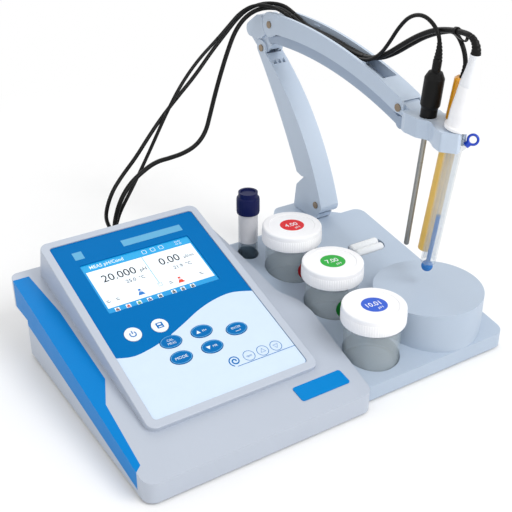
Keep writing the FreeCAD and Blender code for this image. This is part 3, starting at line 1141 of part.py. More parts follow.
def tube(name, points, diameter):
    """A round tube along straight runs and tangent arcs; prints its radii."""
    edges, radii = [], []
    leave = points[0]
    for before, here, after in zip(points, points[1:], points[2:]):
        back, ahead = before - here, after - here
        share_back = 0.9 if before is points[0] else 0.45
        share_ahead = 0.9 if after is points[-1] else 0.45
        half = back.getAngle(ahead) / 2
        reach = min(share_back * back.Length, share_ahead * ahead.Length)
        radius = reach * math.tan(half)
        radii.append(radius)
        back.normalize()
        ahead.normalize()
        start, end = here + back * reach, here + ahead * reach
        centre = here + (back + ahead).normalize() * (radius / math.sin(half))
        middle = centre + (here - centre).normalize() * radius
        if (start - leave).Length > 1e-4:
            edges.append(Part.LineSegment(leave, start).toShape())
        edges.append(Part.Arc(start, middle, end).toShape())
        leave = end
    edges.append(Part.LineSegment(leave, points[-1]).toShape())
    path = Part.Wire(edges)
    direction = (points[1] - points[0]).normalize()
    circle = Part.Wire(Part.makeCircle(diameter / 2, points[0], direction))
    solid = path.makePipeShell([circle], True, False)
    expected = math.pi * diameter ** 2 / 4 * path.Length
    print(f"{name}: length {path.Length:.0f} mm, radii from {min(radii):.1f} to {max(radii):.1f} mm,"
          f" volume {solid.Volume / expected:.4f} of its section times its length")
    return solid


for name, route in ROUTES.items():
    points = [Vector(*p) for p in route]
    probe, height = PROBE_ENTRIES[name]
    points[-1] = Vector(*probe_at(probe, height))
    run_in = (points[-2] - points[-1]).Length
    points[-2] = Vector(*probe_at(probe, height + min(run_in, 13.0)))
    cable = doc.addObject("Part::Feature", name + "_solid")
    cable.Shape = tube(name, points, getattr(d, name))
    publish(cable, name)

doc.recompute()

failed = [o.Name for o in doc.Objects if "Invalid" in o.State or "Error" in o.State]
if failed:
    raise RuntimeError(f"failed objects: {failed}")
os.makedirs("parts", exist_ok=True)
for label, obj in PARTS:
    shape = obj.Shape
    if shape.isNull() or not shape.isValid() or not shape.Solids:
        raise RuntimeError(f"{label} has no valid solid")
    shape.exportStep(f"parts/{label}.step")
    box = shape.BoundBox
    print(f"{label}: {len(shape.Solids)} solid(s), {shape.Volume / 1000:.2f} cm3,"
          f" z {box.ZMin:.1f} to {box.ZMax:.1f}")
print(f"{len(PARTS)} nodes")
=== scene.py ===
"""Finishes, cables, printed graphics, camera and studio for a benchtop pH and conductivity meter."""

import functools
import logging
import math
from dataclasses import dataclass, field
from enum import Enum
from typing import Any, Iterable, Optional, Sequence, Union

import bmesh
import bpy
from mathutils import Matrix, Vector
from mathutils.geometry import tessellate_polygon


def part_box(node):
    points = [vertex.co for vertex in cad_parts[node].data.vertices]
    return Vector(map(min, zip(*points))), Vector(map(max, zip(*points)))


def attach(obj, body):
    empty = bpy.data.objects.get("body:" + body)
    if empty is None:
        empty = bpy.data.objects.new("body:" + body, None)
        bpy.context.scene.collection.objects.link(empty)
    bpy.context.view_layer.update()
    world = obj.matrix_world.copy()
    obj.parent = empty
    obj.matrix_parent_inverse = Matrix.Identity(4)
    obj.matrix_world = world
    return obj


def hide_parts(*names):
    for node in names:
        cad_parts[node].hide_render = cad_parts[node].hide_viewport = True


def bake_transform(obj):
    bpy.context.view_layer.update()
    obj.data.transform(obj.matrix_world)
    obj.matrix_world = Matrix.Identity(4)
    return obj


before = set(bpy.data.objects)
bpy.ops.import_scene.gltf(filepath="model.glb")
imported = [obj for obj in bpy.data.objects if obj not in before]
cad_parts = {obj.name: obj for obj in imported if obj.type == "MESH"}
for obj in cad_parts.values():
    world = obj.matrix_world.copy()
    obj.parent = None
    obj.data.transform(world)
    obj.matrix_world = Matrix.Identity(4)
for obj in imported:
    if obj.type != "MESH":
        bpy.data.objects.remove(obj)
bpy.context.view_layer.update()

LOG = logging.getLogger("bench_meter")
MM = 0.001
BENCH_ORIGIN = Vector((162.0, 156.0, -2.0))
Colour = tuple[float, float, float]
Point = Sequence[float]
Spot = tuple[float, float]


def bench(x: float, y: float, z: float) -> Vector:
    """A point of the drawing, in millimetres, as a place in the model.

    Args:
        x: Millimetres to the right of the console's left side.
        y: Millimetres back from the console's front.
        z: Millimetres above the underside.

    Returns:
        The same place in metres.
    """
    return (Vector((x, y, z)) - BENCH_ORIGIN) * MM


def display(red: int, green: int, blue: int) -> Colour:
    """A colour as a screen shows it, turned into linear light.

    Args:
        red: Red from 0 to 255.
        green: Green from 0 to 255.
        blue: Blue from 0 to 255.

    Returns:
        The colour that the shaders take.
    """

    def linear(value: int) -> float:
        """One channel in linear light."""
        share = value / 255
        return share / 12.92 if share <= 0.04045 else ((share + 0.055) / 1.055) ** 2.4

    return linear(red), linear(green), linear(blue)


def scaled(colour: Colour, by: float) -> Colour:
    """A colour made darker or lighter by a factor."""
    return tuple(channel * by for channel in colour)


# Shader expressions


Value = Union["Signal", float, int]


class Signal:
    """A shader socket that adds Math nodes when it is used in an expression."""

    def __init__(self, shader: "Shader", socket: bpy.types.NodeSocket) -> None:
        """Keeps the socket and the shader that it belongs to."""
        self.shader = shader
        self.socket = socket

    def _math(self, operation: str, *values: Value) -> "Signal":
        """Adds one Math node.

        Args:
            operation: The node's operation.
            values: Its inputs, in order.

        Returns:
            The node's result.
        """
        return self.shader.node(
            "ShaderNodeMath", {"operation": operation}, dict(enumerate(values))
        )

    def __add__(self, other: Value) -> "Signal":
        """self + other."""
        return self._math("ADD", self, other)

    __radd__ = __add__

    def __sub__(self, other: Value) -> "Signal":
        """self - other."""
        return self._math("SUBTRACT", self, other)

    def __rsub__(self, other: Value) -> "Signal":
        """other - self."""
        return self._math("SUBTRACT", other, self)

    def __mul__(self, other: Value) -> "Signal":
        """self * other."""
        return self._math("MULTIPLY", self, other)

    __rmul__ = __mul__

    def __truediv__(self, other: Value) -> "Signal":
        """self / other."""
        return self._math("DIVIDE", self, other)

    def __rtruediv__(self, other: Value) -> "Signal":
        """other / self."""
        return self._math("DIVIDE", other, self)

    def __gt__(self, other: Value) -> "Signal":
        """1 where self is above other."""
        return self._math("GREATER_THAN", self, other)

    def __lt__(self, other: Value) -> "Signal":
        """1 where self is below other."""
        return self._math("LESS_THAN", self, other)

    def clamp(self) -> "Signal":
        """self held between 0 and 1."""
        return self.shader.node(
            "ShaderNodeClamp", {}, {"Value": self, "Min": 0.0, "Max": 1.0}
        )

    def sine(self) -> "Signal":
        """The sine of self."""
        return self._math("SINE", self)

    def power(self, exponent: Value) -> "Signal":
        """self to an exponent."""
        return self._math("POWER", self, exponent)


class Shader:
    """One tree of shader nodes, of a material or of the surroundings."""

    def __init__(self, owner: Union[bpy.types.Material, bpy.types.World]) -> None:
        """Empties the owner's tree.

        Args:
            owner: The material or the surroundings that the nodes are for.
        """
        self.owner = owner
        owner.use_nodes = True
        self.tree = owner.node_tree
        self.tree.nodes.clear()

    @classmethod
    def named(cls, name: str) -> "Shader":
        """The tree of a new material.

        Args:
            name: The material's name.

        Returns:
            Its empty tree.
        """
        return cls(bpy.data.materials.new(name))

    def node(
        self,
        kind: str,
        settings: Optional[dict[str, Any]] = None,
        inputs: Optional[dict[Union[str, int], Any]] = None,
        result: Union[str, int] = 0,
    ) -> Signal:
        """Adds one node.

        Args:
            kind: The node's type.
            settings: Its own settings; stops are a ramp's colours.
            inputs: Values or links of its sockets.
            result: The output that is wanted.

        Returns:
            That output.
        """
        made = self.tree.nodes.new(kind)
        for key, value in (settings or {}).items():
            if key == "stops":
                self._stops(made, value)
            else:
                setattr(made, key, value)
        for key, value in (inputs or {}).items():
            if isinstance(value, Signal):
                self.tree.links.new(value.socket, made.inputs[key])
            else:
                made.inputs[key].default_value = value
        return Signal(self, made.outputs[result] if made.outputs else None)

    def _stops(self, ramp: bpy.types.Node, stops: Sequence[tuple[float, Colour]]) -> None:
        """Sets a ramp's colours.

        Args:
            ramp: The Color Ramp node.
            stops: Each place from 0 to 1 and its colour.
        """
        elements = ramp.color_ramp.elements
        while len(elements) < len(stops):
            elements.new(1.0)
        for element, (place, colour) in zip(elements, stops):
            element.position = place
            element.color = (*colour, 1.0)

    def place(self) -> Signal:
        """The surface's own position, which goes with the piece."""
        return self.node("ShaderNodeTexCoord", result="Object")

    def shifted(self, at: Vector) -> Signal:
        """The surface's position measured from another point.

        Args:
            at: That point, in metres.

        Returns:
            The position from it.
        """
        return self.node(
            "ShaderNodeVectorMath",
            {"operation": "SUBTRACT"},
            {0: self.place(), 1: tuple(at)},
        )

    def stretched(self, by: Point) -> Signal:
        """The surface's position scaled along each axis.

        Args:
            by: The three factors.

        Returns:
            The scaled position.
        """
        return self.node(
            "ShaderNodeVectorMath",
            {"operation": "MULTIPLY"},
            {0: self.place(), 1: tuple(by)},
        )

    def axes(self, vector: Signal) -> tuple[Signal, Signal, Signal]:
        """A vector's three numbers.

        Args:
            vector: The vector.

        Returns:
            Its x, y and z.
        """
        split = self.node("ShaderNodeSeparateXYZ", {}, {0: vector}).socket.node
        return tuple(Signal(self, output) for output in split.outputs)

    def noise(self, grain: float, detail: float = 2.0, at: Optional[Signal] = None) -> Signal:
        """Soft random grey from 0 to 1.

        Args:
            grain: The size of its patches in millimetres.
            detail: How much finer grey lies on it.
            at: The position that it reads; the surface's own when left out.

        Returns:
            The grey.
        """
        return self.node(
            "ShaderNodeTexNoise",
            {},
            {
                "Vector": at or self.place(),
                "Scale": 1000.0 / grain,
                "Detail": detail,
                "Roughness": 0.55,
            },
        )

    def tint(self, share: Value, low: Any, high: Any) -> Signal:
        """A colour between two colours.

        Args:
            share: 0 for the first and 1 for the second.
            low: The first colour, or a link.
            high: The second colour, or a link.

        Returns:
            The mixed colour.
        """

        def ready(colour: Any) -> Any:
            """A colour with its fourth number."""
            return colour if isinstance(colour, Signal) else (*colour, 1.0)

        return self.node(
            "ShaderNodeMix",
            {"data_type": "RGBA"},
            {0: share, 6: ready(low), 7: ready(high)},
            result=2,
        )

    def bump(self, height: Signal, depth: float, below: Optional[Signal] = None) -> Signal:
        """A surface normal roughened by a height.

        Args:
            height: The height from 0 to 1.
            depth: The depth of 1 in millimetres.
            below: Another bump that this one lies on.

        Returns:
            The normal.
        """
        links: dict[Union[str, int], Any] = {
            "Height": height,
            "Distance": depth * MM,
            "Strength": 1.0,
        }
        if below:
            links["Normal"] = below
        return self.node("ShaderNodeBump", {}, links)

    def finish(self, **sockets: Any) -> bpy.types.Material:
        """Joins the values to a Principled surface and ends the tree.

        Args:
            sockets: Values or links, named as the sockets are, with _ for spaces.

        Returns:
            The material.
        """
        surface = self.node(
            "ShaderNodeBsdfPrincipled",
            {},
            {key.replace("_", " "): value for key, value in sockets.items()},
        )
        self.node("ShaderNodeOutputMaterial", {}, {"Surface": surface})
        return self.owner


# Finishes


@dataclass(frozen=True)
class Moulded:
    """Moulded resin with fine spark texture, faint mottling and soft handling marks."""

    name: str
    colour: Colour
    roughness: float = 0.42
    texture: float = 0.32
    depth: float = 0.012
    mottle: float = 0.05
    coat: float = 0.0
    specular: float = 0.5

    def make(self) -> bpy.types.Material:
        """Builds the material.

        Returns:
            The finished material.
        """
        shader = Shader.named(self.name)
        broad = shader.noise(38.0, 3.0)
        fine = shader.noise(0.9, 2.0)
        darker = scaled(self.colour, 1 - 1.6 * self.mottle)
        lighter = tuple(min(1.0, c * (1 + self.mottle)) for c in self.colour)
        colour = shader.tint((broad * 0.75 + fine * 0.25).clamp(), darker, lighter)
        smear = shader.noise(14.0, 4.0)
        rough = smear * 0.14 + fine * 0.06 + (self.roughness - 0.1)
        grain = shader.noise(self.texture, 1.0)
        wave = shader.noise(6.0, 1.0)
        normal = shader.bump(grain, self.depth, shader.bump(wave, self.depth * 1.5))
        return shader.finish(
            Base_Color=colour,
            Roughness=rough.clamp(),
            Normal=normal,
            Coat_Weight=self.coat,
            Specular_IOR_Level=self.specular,
        )


@dataclass(frozen=True)
class Film:
    """Printed polyester film: even ink under a clear lightly textured face."""

    name: str
    colour: Colour
    roughness: float = 0.3
    glow: float = 0.0
    texture: float = 0.22
    specular: float = 0.25

    def make(self) -> bpy.types.Material:
        """Builds the material.

        Returns:
            The finished material.
        """
        shader = Shader.named(self.name)
        patch = shader.noise(9.0, 2.0)
        speck = shader.noise(self.texture, 1.0)
        shade = scaled(self.colour, 0.94)
        colour = shader.tint((patch * 0.6 + speck * 0.4).clamp(), shade, self.colour)
        rough = patch * 0.1 + (self.roughness - 0.05)
        return shader.finish(
            Base_Color=colour,
            Roughness=rough,
            Normal=shader.bump(speck, 0.004),
            Emission_Color=colour,
            Emission_Strength=self.glow,
            Specular_IOR_Level=self.specular,
        )


@dataclass(frozen=True)
class Screen:
    """Lit liquid crystal pixels under a smooth face."""

    name: str
    colour: Colour
    glow: float = 0.22
    pitch: float = 0.42

    def make(self) -> bpy.types.Material:
        """Builds the material.

        Returns:
            The finished material.
        """
        shader = Shader.named(self.name)
        x, y, _ = shader.axes(shader.place())
        turn = 2 * math.pi / (self.pitch * MM)
        rows = (x * turn).sine() * 0.5 + (y * turn).sine() * 0.5
        glare = shader.noise(26.0, 1.0)
        share = (rows * 0.18 + glare * 0.5 + 0.3).clamp()
        shade = scaled(self.colour, 0.92)
        colour = shader.tint(share, shade, self.colour)
        return shader.finish(
            Base_Color=colour,
            Roughness=glare * 0.08 + 0.14,
            Emission_Color=colour,
            Emission_Strength=self.glow,
            Normal=shader.bump(rows * 0.5 + 0.5, 0.001),
        )


@dataclass(frozen=True)
class Metal:
    """Turned or plated metal with fine marks round its axis."""

    name: str
    colour: Colour
    roughness: float = 0.26
    along: tuple[float, float, float] = (1.0, 1.0, 14.0)

    def make(self) -> bpy.types.Material:
        """Builds the material.

        Returns:
            The finished material.
        """
        shader = Shader.named(self.name)
        streak = shader.noise(1.4, 3.0, shader.stretched(self.along))
        cloud = shader.noise(11.0, 2.0)
        darker = scaled(self.colour, 0.8)
        colour = shader.tint((streak * 0.5 + cloud * 0.5).clamp(), darker, self.colour)
        rough = streak * 0.16 + cloud * 0.08 + (self.roughness - 0.1)
        return shader.finish(
            Base_Color=colour,
            Metallic=1.0,
            Roughness=rough.clamp(),
            Normal=shader.bump(streak, 0.004),
        )


@dataclass(frozen=True)
class Glass:
    """Clear glass or resin with faint smears."""

    name: str
    colour: Colour
    index: float = 1.47
    roughness: float = 0.02
    passes: float = 1.0
    haze: float = 0.05

    def make(self) -> bpy.types.Material:
        """Builds the material.

        Returns:
            The finished material.
        """
        shader = Shader.named(self.name)
        smear = shader.noise(7.0, 4.0, shader.stretched((1.0, 1.0, 0.35)))
        dust = shader.noise(0.8, 2.0)
        shade = scaled(self.colour, 0.96)
        return shader.finish(
            Base_Color=shader.tint(smear, shade, self.colour),
            Roughness=(smear * self.haze + dust * self.haze * 0.4 + self.roughness).clamp(),
            Transmission_Weight=self.passes,
            IOR=self.index,
            Normal=shader.bump(smear, 0.01),
        )


@dataclass(frozen=True)
class Clear:
    """Clear resin or glass that lets light straight through, with another look below a level."""

    name: str
    colour: Colour
    body: float = 0.3
    roughness: float = 0.08
    low_colour: Colour = (0.0, 0.0, 0.0)
    low_body: float = 0.0
    level: float = -1.0

    def make(self) -> bpy.types.Material:
        """Builds the material.

        Returns:
            The finished material.
        """
        shader = Shader.named(self.name)
        flow = shader.noise(16.0, 2.0, shader.stretched((1.0, 1.0, 0.25)))
        haze = shader.noise(3.0, 3.0)
        height = shader.axes(shader.place())[2] + flow * 0.6 * MM
        low = ((self.level * MM - height) * 900 + 0.5).clamp()
        shade = scaled(self.colour, 0.88)
        colour = shader.tint(low, shader.tint(flow, shade, self.colour), self.low_colour)
        body = low * (self.low_body - self.body) + self.body
        return shader.finish(
            Base_Color=colour,
            Roughness=(haze * 0.08 + self.roughness).clamp(),
            Alpha=(flow * 0.12 + haze * 0.06 + body - 0.09).clamp(),
            Normal=shader.bump(flow, 0.05, shader.bump(haze, 0.01)),
        )


@dataclass(frozen=True)
class Rubber:
    """Matt black or coloured rubber with dust and scuffs."""

    name: str
    colour: Colour
    roughness: float = 0.55
    texture: float = 0.5
    depth: float = 0.02
    specular: float = 0.16

    def make(self) -> bpy.types.Material:
        """Builds the material.

        Returns:
            The finished material.
        """
        shader = Shader.named(self.name)
        scuff = shader.noise(5.0, 5.0)
        grain = shader.noise(self.texture, 2.0)
        dusty = tuple(c + 0.004 for c in self.colour)
        colour = shader.tint((scuff * 0.7 + grain * 0.3).clamp(), self.colour, dusty)
        rough = scuff * 0.2 + (self.roughness - 0.1)
        return shader.finish(
            Base_Color=colour,
            Roughness=rough.clamp(),
            Normal=shader.bump(grain, self.depth),
            Specular_IOR_Level=self.specular,
        )


@dataclass(frozen=True)
class Laminate:
    """Green circuit board with a faint glass weave and copper lines below its mask."""

    name: str
    colour: Colour

    def make(self) -> bpy.types.Material:
        """Builds the material.

        Returns:
            The finished material.
        """
        shader = Shader.named(self.name)
        x, y, _ = shader.axes(shader.place())
        weave = ((x * 9000).sine() * (y * 9000).sine()) * 0.5 + 0.5
        lines = (x * 1200).sine() > 0.72
        copper = tuple(c * 1.9 + 0.01 for c in self.colour)
        colour = shader.tint(lines * 0.6 + weave * 0.15, self.colour, copper)
        return shader.finish(
            Base_Color=colour, Roughness=weave * 0.1 + 0.3, Normal=shader.bump(weave, 0.01)
        )


Finish = Union[Moulded, Film, Screen, Metal, Glass, Clear, Rubber, Laminate]


@functools.cache
def material(finish: Finish) -> bpy.types.Material:
    """The material of a finish, built once.

    Args:
        finish: The finish.

    Returns:
        Its material.
    """
    return finish.make()


class Look(Enum):
    """Every finish on the meter."""

    HOUSING = Moulded("housing_grey_blue", display(183, 191, 204), 0.4, 0.35, 0.010, 0.03)
    DECK = Moulded("deck_grey_blue", display(186, 194, 207), 0.42, 0.35, 0.010, 0.03)
    TRAY = Moulded("tray_grey_blue", display(176, 190, 207), 0.44, 0.35, 0.012, 0.04)
    ARM = Moulded("arm_steel_blue", display(190, 204, 221), 0.36, 0.5, 0.006, 0.03)
    # A darker copy of the arm's finish for the links inside the arm: painted shade for where they sit
    # within the shell and brackets.
    ARM_PAINTED_SHADE = Moulded("arm_steel_blue_painted_shade", display(156, 172, 193), 0.42, 0.5, 0.008, 0.04)
    TRIM = Moulded("trim_blue", display(0, 127, 203), 0.34, 0.5, 0.004, 0.012, 0.0, 0.08)
    FLOOR = Moulded("underside_grey", display(150, 160, 176), 0.55, 0.5, 0.02)
    FILM_BLUE = Film("film_blue", display(0, 111, 182), 0.36, 0.0, 0.22, 0.05)
    FILM_PALE = Film("film_pale", display(211, 228, 246), 0.34, 0.0, 0.22, 0.15)
    FILM_STRIP = Film("film_strip", display(104, 176, 216), 0.34, 0.0, 0.22, 0.1)
    PLATE = Film("plate_blue", display(0, 130, 204), 0.36, 0.0, 0.22, 0.1)
    KEY_BLUE = Film("key_blue", display(4, 108, 178), 0.34, 0.0, 0.22, 0.08)
    KEY_WHITE = Film("key_white", display(238, 243, 250), 0.32)
    INK_WHITE = Film("ink_white", display(232, 243, 252), 0.3)
    INK_LIGHT = Film("ink_light_blue", display(120, 190, 235), 0.3)
    INK_BLUE = Film("ink_blue", display(0, 112, 184), 0.34, 0.0, 0.22, 0.05)
    LCD_FRAME = Screen("lcd_frame", display(12, 146, 208))
    LCD_TITLE = Screen("lcd_title", display(20, 158, 216))
    LCD_PAGE = Screen("lcd_page", display(232, 242, 250), 0.25)
    LCD_BLACK = Screen("lcd_black", display(16, 20, 26), 0.0)
    LCD_BLUE = Screen("lcd_blue", display(20, 110, 190))
    LCD_RED = Screen("lcd_red", display(214, 60, 30))
    LCD_DARK_RED = Screen("lcd_dark_red", display(130, 20, 24))
    LCD_GREEN = Screen("lcd_green", display(20, 150, 60))
    LCD_NAVY = Screen("lcd_navy", display(24, 60, 140))
    LCD_GREY = Screen("lcd_grey", display(84, 92, 102), 0.05)
    RUBBER = Rubber("black_rubber", (0.004, 0.004, 0.005))
    HANDLE = Rubber("handle_black", (0.003, 0.003, 0.003), 0.4)
    CABLE = Rubber("cable_black", (0.003, 0.003, 0.003), 0.42, 0.8, 0.012)
    TIE = Rubber("tie_black", (0.004, 0.004, 0.004), 0.35)
    STEEL = Metal("rod_steel", (0.36, 0.35, 0.32), 0.3)
    SOCKETS = Metal("nickel", (0.66, 0.64, 0.60), 0.3, (1.0, 12.0, 1.0))
    SCREW = Metal("screw_brown_steel", (0.34, 0.27, 0.20), 0.42, (1.0, 1.0, 1.0))
    MAGNET = Metal("magnet_plating", (0.5, 0.5, 0.52), 0.22, (1.0, 1.0, 1.0))
    MOTOR = Metal("motor_can", (0.5, 0.5, 0.5), 0.36, (1.0, 1.0, 6.0))
    BOARD = Laminate("circuit_board", (0.02, 0.16, 0.06))
    JAR = Clear("jar_clear", display(206, 218, 224), 0.27, 0.08)
    VIAL = Clear("vial_clear", display(224, 224, 228), 0.72, 0.14, display(84, 104, 118), 0.3, 57.0)
    PROBE_GLASS = Clear("probe_glass", display(190, 204, 216), 0.2, 0.04)
    INNER_TUBE = Clear("inner_tube", display(214, 218, 214), 0.16, 0.05, display(20, 112, 190), 0.92, 113.0)
    STEM_CREAM = Glass("stem_cream", display(250, 208, 108), 1.4, 0.25, 0.15)
    CAP_AMBER = Moulded("cap_amber", display(224, 154, 18), 0.3, 0.5, 0.004, 0.05, 0.2)
    CAP_WHITE = Moulded("cap_white", display(247, 247, 249), 0.34, 0.5, 0.005, 0.012)
    BOOT_WHITE = Moulded("boot_white", display(236, 238, 242), 0.38, 0.5, 0.006, 0.012)
    STOPPER = Moulded("stopper_blue", display(22, 66, 190), 0.35, 0.5, 0.006, 0.05)
    VIAL_CAP = Moulded("vial_cap_navy", display(2, 14, 70), 0.36, 0.5, 0.006, 0.04, 0.0, 0.18)
    STIR_BAR = Moulded("stir_bar_white", display(232, 235, 238), 0.26, 0.8, 0.003, 0.02, 0.3)
    STICKER_RED = Film("sticker_red", display(222, 14, 24), 0.32)
    STICKER_GREEN = Film("sticker_green", display(18, 170, 50), 0.32)
    STICKER_BLUE = Film("sticker_blue", display(44, 92, 208), 0.32)
    STICKER_INK = Film("sticker_ink", display(244, 247, 250), 0.32)
    LABEL_RED = Film("label_dark_red", display(168, 14, 22), 0.4)
    LABEL_GREEN = Film("label_dark_green", display(0, 106, 30), 0.4)

    @property
    def made(self) -> bpy.types.Material:
        """The material of this finish."""
        return material(self.value)


# Meshes


def mesh_object(name: str, shape: bmesh.types.BMesh, looks: Sequence[Look]) -> bpy.types.Object:
    """Turns a built mesh into an object.

    Args:
        name: The piece's name.
        shape: The mesh, which is freed.
        looks: The finishes of its material slots.

    Returns:
        The new object.
    """
    data = bpy.data.meshes.new(name)
    shape.to_mesh(data)
    shape.free()
    made = bpy.data.objects.new(name, data)
    bpy.context.collection.objects.link(made)
    for look in looks:
        data.materials.append(look.made)
    return made


def curve_mesh(curve: bpy.types.Curve) -> bpy.types.Mesh:
    """Reads a curve as a mesh and removes the curve.

    Args:
        curve: The curve or the figures.

    Returns:
        The mesh, which the caller removes.
    """
    holder = bpy.data.objects.new(curve.name, curve)
    bpy.context.collection.objects.link(holder)
    bpy.context.view_layer.update()
    data = bpy.data.meshes.new_from_object(
        holder.evaluated_get(bpy.context.evaluated_depsgraph_get())
    )
    bpy.data.objects.remove(holder)
    bpy.data.curves.remove(curve)
    return data


def smooth(piece: bpy.types.Object) -> bpy.types.Object:
    """Shades a piece smoothly and returns it."""
    for face in piece.data.polygons:
        face.use_smooth = True
    return piece


def ride(piece: bpy.types.Object, body: str) -> bpy.types.Object:
    """Fixes a piece to a body of the frame.

    Args:
        piece: The piece.
        body: The body that carries it.

    Returns:
        The piece.
    """
    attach(piece, body)
    LOG.info("piece %s rides on %s", piece.name, body)
    return piece


def dress(node: str, look: Look) -> None:
    """Gives a carried-over node its finish.

    Args:
        node: The node's name.
        look: The finish.
    """
    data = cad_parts[node].data
    if not data.materials:
        data.materials.append(look.made)
    for index in range(len(data.materials)):
        data.materials[index] = look.made
    LOG.info("node %s wears %s", node, look.value.name)


def measured(line: Sequence[Vector], start: float, end: float, step: float) -> list[Vector]:
    """Evenly spaced points along part of a line.

    Args:
        line: The line's points, in metres.
        start: How far along it the part begins, in millimetres.
        end: How far along it the part ends.
        step: The distance between points.

    Returns:
        The points, in metres.
    """
    count = max(2, round((end - start) / step))
    marks = [(start + (end - start) * i / count) * MM for i in range(count + 1)]
    found = []
    passed = 0.0
    for here, there in zip(line, line[1:]):
        length = (there - here).length
        while len(found) <= count and marks[len(found)] <= passed + length + 1e-9:
            found.append(here.lerp(there, (marks[len(found)] - passed) / length))
        passed += length
    return found


def swept(name: str, line: Sequence[Vector], radii: Sequence[float], look: "Look",
          sides: int = 16) -> bpy.types.Object:
    """A round piece that follows a line, with its own radius at each point.

    Args:
        name: The piece's name.
        line: The points that it follows, in metres.
        radii: The radius at each point, in millimetres.
        look: Its finish.
        sides: The number of faces round it.

    Returns:
        The new object.
    """
    shape = bmesh.new()
    across = Vector((0, 0, 1)).cross(line[1] - line[0])
    if across.length < 1e-9:
        across = Vector((1, 0, 0))
    rings = []
    for i, point in enumerate(line):
        along = (line[min(i + 1, len(line) - 1)] - line[max(i - 1, 0)]).normalized()
        across = (across - along * across.dot(along)).normalized()
        other = along.cross(across)
        turns = [2 * math.pi * k / sides for k in range(sides)]
        rings.append([
            shape.verts.new(point + radii[i] * MM * (math.cos(t) * across + math.sin(t) * other))
            for t in turns
        ])
    for here, there in zip(rings, rings[1:]):
        for k in range(sides):
            m = (k + 1) % sides
            shape.faces.new((here[k], here[m], there[m], there[k]))
    shape.faces.new(tuple(reversed(rings[0])))
    shape.faces.new(tuple(rings[-1]))
    return smooth(mesh_object(name, shape, [look]))


def upright(at: Vector) -> Matrix:
    """A frame in millimetres that stands upright at a point in metres."""
    return Matrix.Translation(at) @ Matrix.Scale(MM, 4)


def outline_disc(u: float, w: float, radius: float, high: Optional[float] = None,
                 steps: int = 48) -> list[Spot]:
    """The points of a circle or an oval.

    Args:
        u: Its centre across.
        w: Its centre up.
        radius: Half its width.
        high: Half its height; the same as its width when left out.
        steps: The number of points.

    Returns:
        The points, anticlockwise.
    """
    tall = radius if high is None else high
    turns = [2 * math.pi * i / steps for i in range(steps)]
    return [(u + radius * math.cos(t), w + tall * math.sin(t)) for t in turns]


def outline_box(u0: float, w0: float, u1: float, w1: float, round_by: float = 0.0
                ) -> list[Spot]:
    """The points of a box with rounded corners.

    Args:
        u0: Its left side.
        w0: Its lower side.
        u1: Its right side.
        w1: Its upper side.
        round_by: The corners' radius.

    Returns:
        The points, anticlockwise.
    """
    if round_by <= 0:
        return [(u0, w0), (u1, w0), (u1, w1), (u0, w1)]
    corners = [(u1 - round_by, w0 + round_by, -90), (u1 - round_by, w1 - round_by, 0),
               (u0 + round_by, w1 - round_by, 90), (u0 + round_by, w0 + round_by, 180)]
    return [
        (u + round_by * math.cos(math.radians(start + 18 * i)),
         w + round_by * math.sin(math.radians(start + 18 * i)))
        for u, w, start in corners for i in range(6)
    ]


